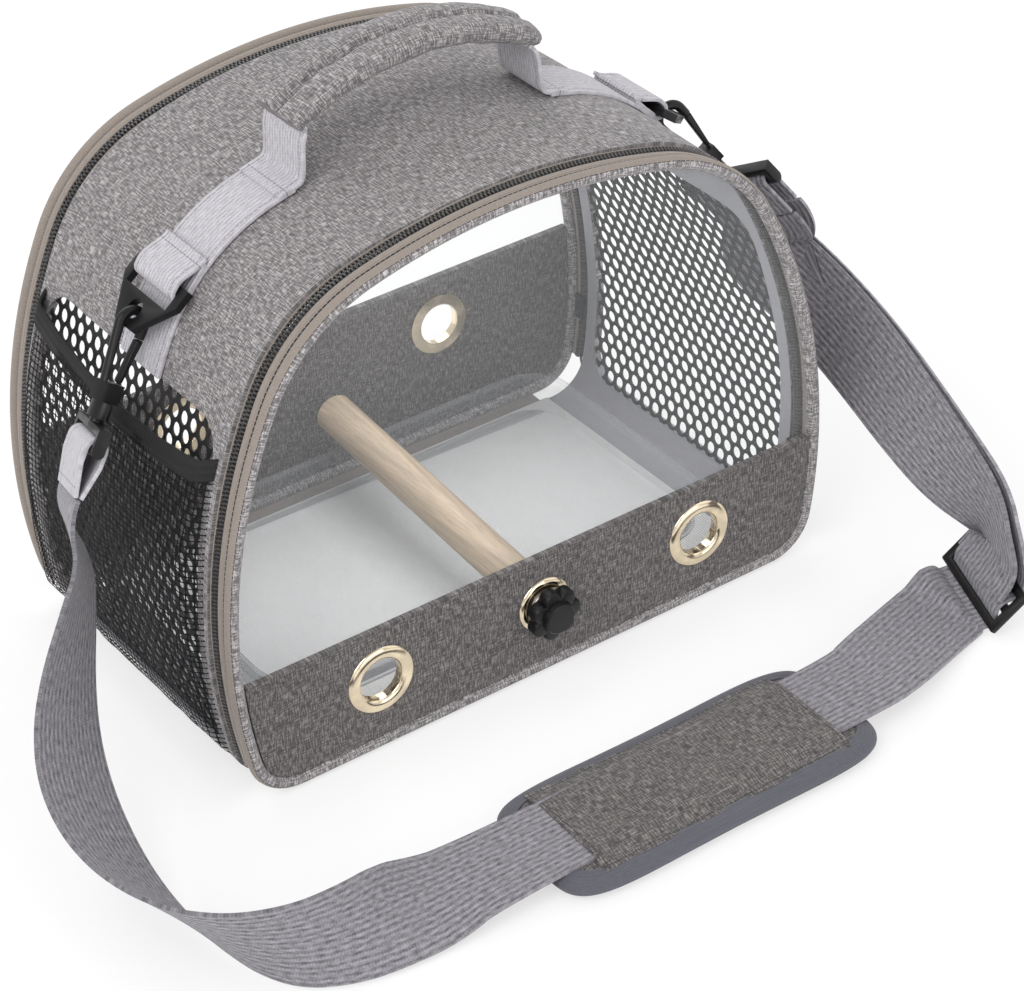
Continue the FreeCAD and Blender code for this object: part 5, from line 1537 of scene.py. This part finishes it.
class CARRIER_OT_strap(bpy.types.Operator):
    """Build the shoulder strap, its doubled end and the shoulder pad"""

    bl_idname = "carrier.strap"
    bl_label = "Strap and pad"

    def execute(self, context):
        width = sizes().strap_width
        entry, leave = BUCKLE - BUCKLE_UP * 0.0116, BUCKLE + BUCKLE_UP * 0.0119
        through = [(-0.0090, 0.0030), (0.0, -0.0052), (0.0090, 0.0030)]
        middles = [entry - INTO_BUCKLE * 0.006, entry]
        middles += [BUCKLE + BUCKLE_UP * up + BUCKLE_FACE * off for up, off in through]
        middles += [leave, leave + OUT_OF_BUCKLE * 0.004]
        weave = [(middle, BUCKLE_ALONG) for middle in middles]
        near, far = leaving_eye(1, -STRAP_LEG)[0][0], leaving_eye(1, STRAP_LEG)[0][0]
        outward_leg = STRAP_LEG if far.x > near.x else -STRAP_LEG
        upper = STRAP_FOLD + leaving_eye(1, outward_leg)[::-1]
        turned = [(point, -Vector(across)) for point, across in upper]
        route = leaving_eye(-1, 0.0) + STRAP_ROUTE + weave + turned
        strap, line, total = ribbon("shoulder_strap", route, width, STRAP_DEPTH)
        place(strap, "carrier", ["strap_main", "strap_upper"], "strap", FINISHES["strap"])
        fold = [(middles[-1], -BUCKLE_ALONG)] + upper
        chain = [leave] + [Vector(point) for point, _ in fold]
        layer = [(BUCKLE + BUCKLE_UP * 0.001 - BUCKLE_FACE * LAYER_GAP, -BUCKLE_ALONG)]
        for index, (point, across) in enumerate(fold[:-2]):
            travel = (chain[index + 2] - chain[index]).normalized()
            face = travel.cross(Vector(across)).normalized()
            layer.append((Vector(point) - face * LAYER_GAP, across))
        layer += leaving_eye(1, -outward_leg)[::-1]
        back, _, _ = ribbon("strap_layer", layer, width, STRAP_DEPTH)
        place(back, "carrier", ["strap_return"], "strap", FINISHES["strap"])
        pieces = self.pad()
        tuple(line[0])
        [tuple(point) for point in line]
        return {"FINISHED"}

    def pad(self):
        """Cushion with a bound edge, and the cover that the strap runs through."""
        low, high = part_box("shoulder_pad")
        middle = (low + high) / 2
        half = (high - low) / 2

        def cushion(u, v):
            turn = u * 2 * math.pi
            c, s = math.cos(turn), math.sin(turn)
            ring, level = math.sin(math.pi * v), math.cos(math.pi * v)
            inset = half.y * (1 - max(ring, 0.0) ** 0.30)
            x = (half.x - inset) * math.copysign(abs(c) ** 0.34, c)
            y = (half.y - inset) * math.copysign(abs(s) ** 0.34, s)
            waist = 1 - 0.04 * math.cos(math.pi * x / half.x / 2) ** 2
            z = middle.z - half.z * math.copysign(abs(level) ** 0.75, level)
            return Vector((x, middle.y + y * waist, z)), (x, y)

        pad = grid("pad_cushion", 160, 30, cushion, closed=True)
        place(pad, "shoulder_pad", ["shoulder_pad"], "pad_cover", FINISHES["pad"], smooth=60)

        def bound(u, v):
            point, _ = cushion(u, 0.17 + 0.66 * v)
            return point, (0.016 * v, u * 0.42)

        binding = grid("pad_edge", 160, 16, bound)
        merge(binding, faces_out=False)
        facing(binding, lambda point: Vector((point.x / 5, point.y - middle.y, 0)))
        thicken(binding, 0.0007, offset=1.0, edge=0.0002)
        place(binding, "shoulder_pad", [], "pad_cover", FINISHES["binding"], smooth=60)
        s_low, s_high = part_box("pad_sleeve")

        def cover(u, v):
            x = s_low.x + (s_high.x - s_low.x) * u
            y = middle.y + 0.0565 * (v - 0.5)
            drop = max(0.0, abs(2 * v - 1) - 0.55) / 0.45
            z = s_high.z - 0.0013 - 0.0028 * math.sin(drop * math.pi / 2) ** 2
            return Vector((x, y, z)), (x, y - middle.y)

        sleeve = grid("pad_cover", 70, 50, cover)
        facing(sleeve, lambda point: Vector((0, 0, 1)))
        ripple(sleeve, 0.0007, 0.02, 4.0)
        thicken(sleeve, 0.0014, edge=0.0004)
        place(sleeve, "shoulder_pad", ["pad_sleeve"], "pad_cover", FINISHES["pad"], smooth=60)
        return [pad, binding, sleeve]


# Soft lamps as (name, place, size, power); the small one inside lifts the tone of the floor board
LAMPS = (
    ("key", (-1.4, -0.6, 1.5), 1.4, 20),
    ("fill", (1.5, -0.7, 1.2), 1.8, 5),
    ("front", (0.2, -1.7, 0.55), 1.2, 6),
    ("back", (0.3, 1.4, 1.3), 1.6, 11),
    ("inside", (0.0, 0.0, 0.2), 0.12, 0.15),
)
# Strength of the surroundings as a light, and what is added where they are seen
WORLD_LIGHT = 0.78
WORLD_SEEN = 0.22
FLOOR_GLOW = 0.62
# The camera: its lens in millimetres, its place, and the directions to its right and behind it
LENS = 110.97
CAMERA_PLACE = (-0.592996, -0.971604, 0.831100)
CAMERA_RIGHT = (0.8171, -0.5748, -0.0441)
CAMERA_BACK = (-0.4512, -0.6852, 0.5718)


class CARRIER_OT_stage(bpy.types.Operator):
    """Build the floor, the soft lights and the camera"""

    bl_idname = "carrier.stage"
    bl_label = "Stage"

    def execute(self, context):
        scene = context.scene
        scene.view_settings.view_transform = "Standard"
        self.floor()
        for lamp in LAMPS:
            self.light(*lamp)
        world = bpy.data.worlds.new("studio")
        scene.world = world
        world.use_nodes = True
        tree = world.node_tree
        sky = tree.nodes["Background"]
        path = add(tree, "LightPath")
        seen = maths(tree, "MAXIMUM", path.outputs["Is Camera Ray"], path.outputs["Is Transmission Ray"])
        strength = maths(tree, "MULTIPLY_ADD", seen, WORLD_SEEN, WORLD_LIGHT)
        sky.inputs["Color"].default_value = WHITE
        tree.links.new(strength, sky.inputs["Strength"])
        camera = bpy.data.cameras.new("camera")
        camera.sensor_width = 36.0
        camera.sensor_fit = "HORIZONTAL"
        camera.lens = LENS
        camera.clip_start = 0.05
        holder = bpy.data.objects.new("camera", camera)
        scene.collection.objects.link(holder)
        right = Vector(CAMERA_RIGHT).normalized()
        back = Vector(CAMERA_BACK).normalized()
        up = back.cross(right).normalized()
        right = up.cross(back)
        turn = Matrix((right, up, back)).transposed()
        holder.matrix_world = Matrix.Translation(CAMERA_PLACE) @ turn.to_4x4()
        scene.camera = holder
        return {"FINISHED"}

    def floor(self):
        """A wide pale floor that glows a little where the camera sees it."""

        def shape(u, v):
            x, y = (u - 0.5) * 6, (v - 0.5) * 6
            return Vector((x, y, -0.0005)), (x, y)

        floor = grid("studio_floor", 4, 4, shape)
        finish, tree, shader = new_finish("studio_floor", Base_Color=(0.9, 0.9, 0.9), Roughness=0.9)
        seen = add(tree, "LightPath").outputs["Is Camera Ray"]
        glow = add(tree, "Emission", {"Color": WHITE, "Strength": 1.0})
        share = maths(tree, "MULTIPLY", seen, FLOOR_GLOW)
        blend = add(tree, "MixShader", {0: share, 1: shader.outputs[0], 2: glow.outputs[0]})
        tree.links.new(blend.outputs[0], tree.nodes["Material Output"].inputs["Surface"])
        dress(floor, finish)

    def light(self, name, place_at, size, power):
        """A square lamp that looks at the middle of the bag and isn't seen itself."""
        lamp = bpy.data.lights.new(name, "AREA")
        lamp.size = size
        lamp.energy = power
        holder = bpy.data.objects.new(name, lamp)
        bpy.context.scene.collection.objects.link(holder)
        holder.location = place_at
        holder.visible_camera = False
        aim = Vector((0, 0, MIDDLE_HEIGHT)) - Vector(place_at)
        holder.rotation_euler = aim.to_track_quat("-Z", "Y").to_euler()


class CARRIER_PT_panel(bpy.types.Panel):
    """Lists the steps that build the carrier"""

    bl_label = "Bird Carrier Bag"
    bl_idname = "CARRIER_PT_panel"
    bl_space_type = "VIEW_3D"
    bl_region_type = "UI"
    bl_category = "Carrier"

    def draw(self, context):
        for step in STEPS:
            self.layout.operator(step.bl_idname)
        for key in CarrierSizes.__annotations__:
            self.layout.prop(context.scene.carrier_sizes, key)
        for key in CarrierColours.__annotations__:
            self.layout.prop(context.scene.carrier_colours, key)


STEPS = (
    CARRIER_OT_wrap,
    CARRIER_OT_piping,
    CARRIER_OT_zips,
    CARRIER_OT_doors,
    CARRIER_OT_perch,
    CARRIER_OT_handle,
    CARRIER_OT_nets,
    CARRIER_OT_floor,
    CARRIER_OT_hardware,
    CARRIER_OT_strap,
    CARRIER_OT_stage,
)
CLASSES = (CarrierSizes, CarrierColours, *STEPS, CARRIER_PT_panel)


def register():
    """Add the classes and the panel's values."""
    for item in CLASSES:
        bpy.utils.register_class(item)
    bpy.types.Scene.carrier_sizes = bpy.props.PointerProperty(type=CarrierSizes)
    bpy.types.Scene.carrier_colours = bpy.props.PointerProperty(type=CarrierColours)


def unregister():
    """Take away what register added."""
    del bpy.types.Scene.carrier_colours
    del bpy.types.Scene.carrier_sizes
    for item in reversed(CLASSES):
        bpy.utils.unregister_class(item)


def main():
    """Register the steps, make the materials and run every step."""
    register()
    make_finishes()
    for step in STEPS:
        group_name, step_name = step.bl_idname.split(".")
        getattr(getattr(bpy.ops, group_name), step_name)()
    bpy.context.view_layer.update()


if __name__ == "__main__":
    main()
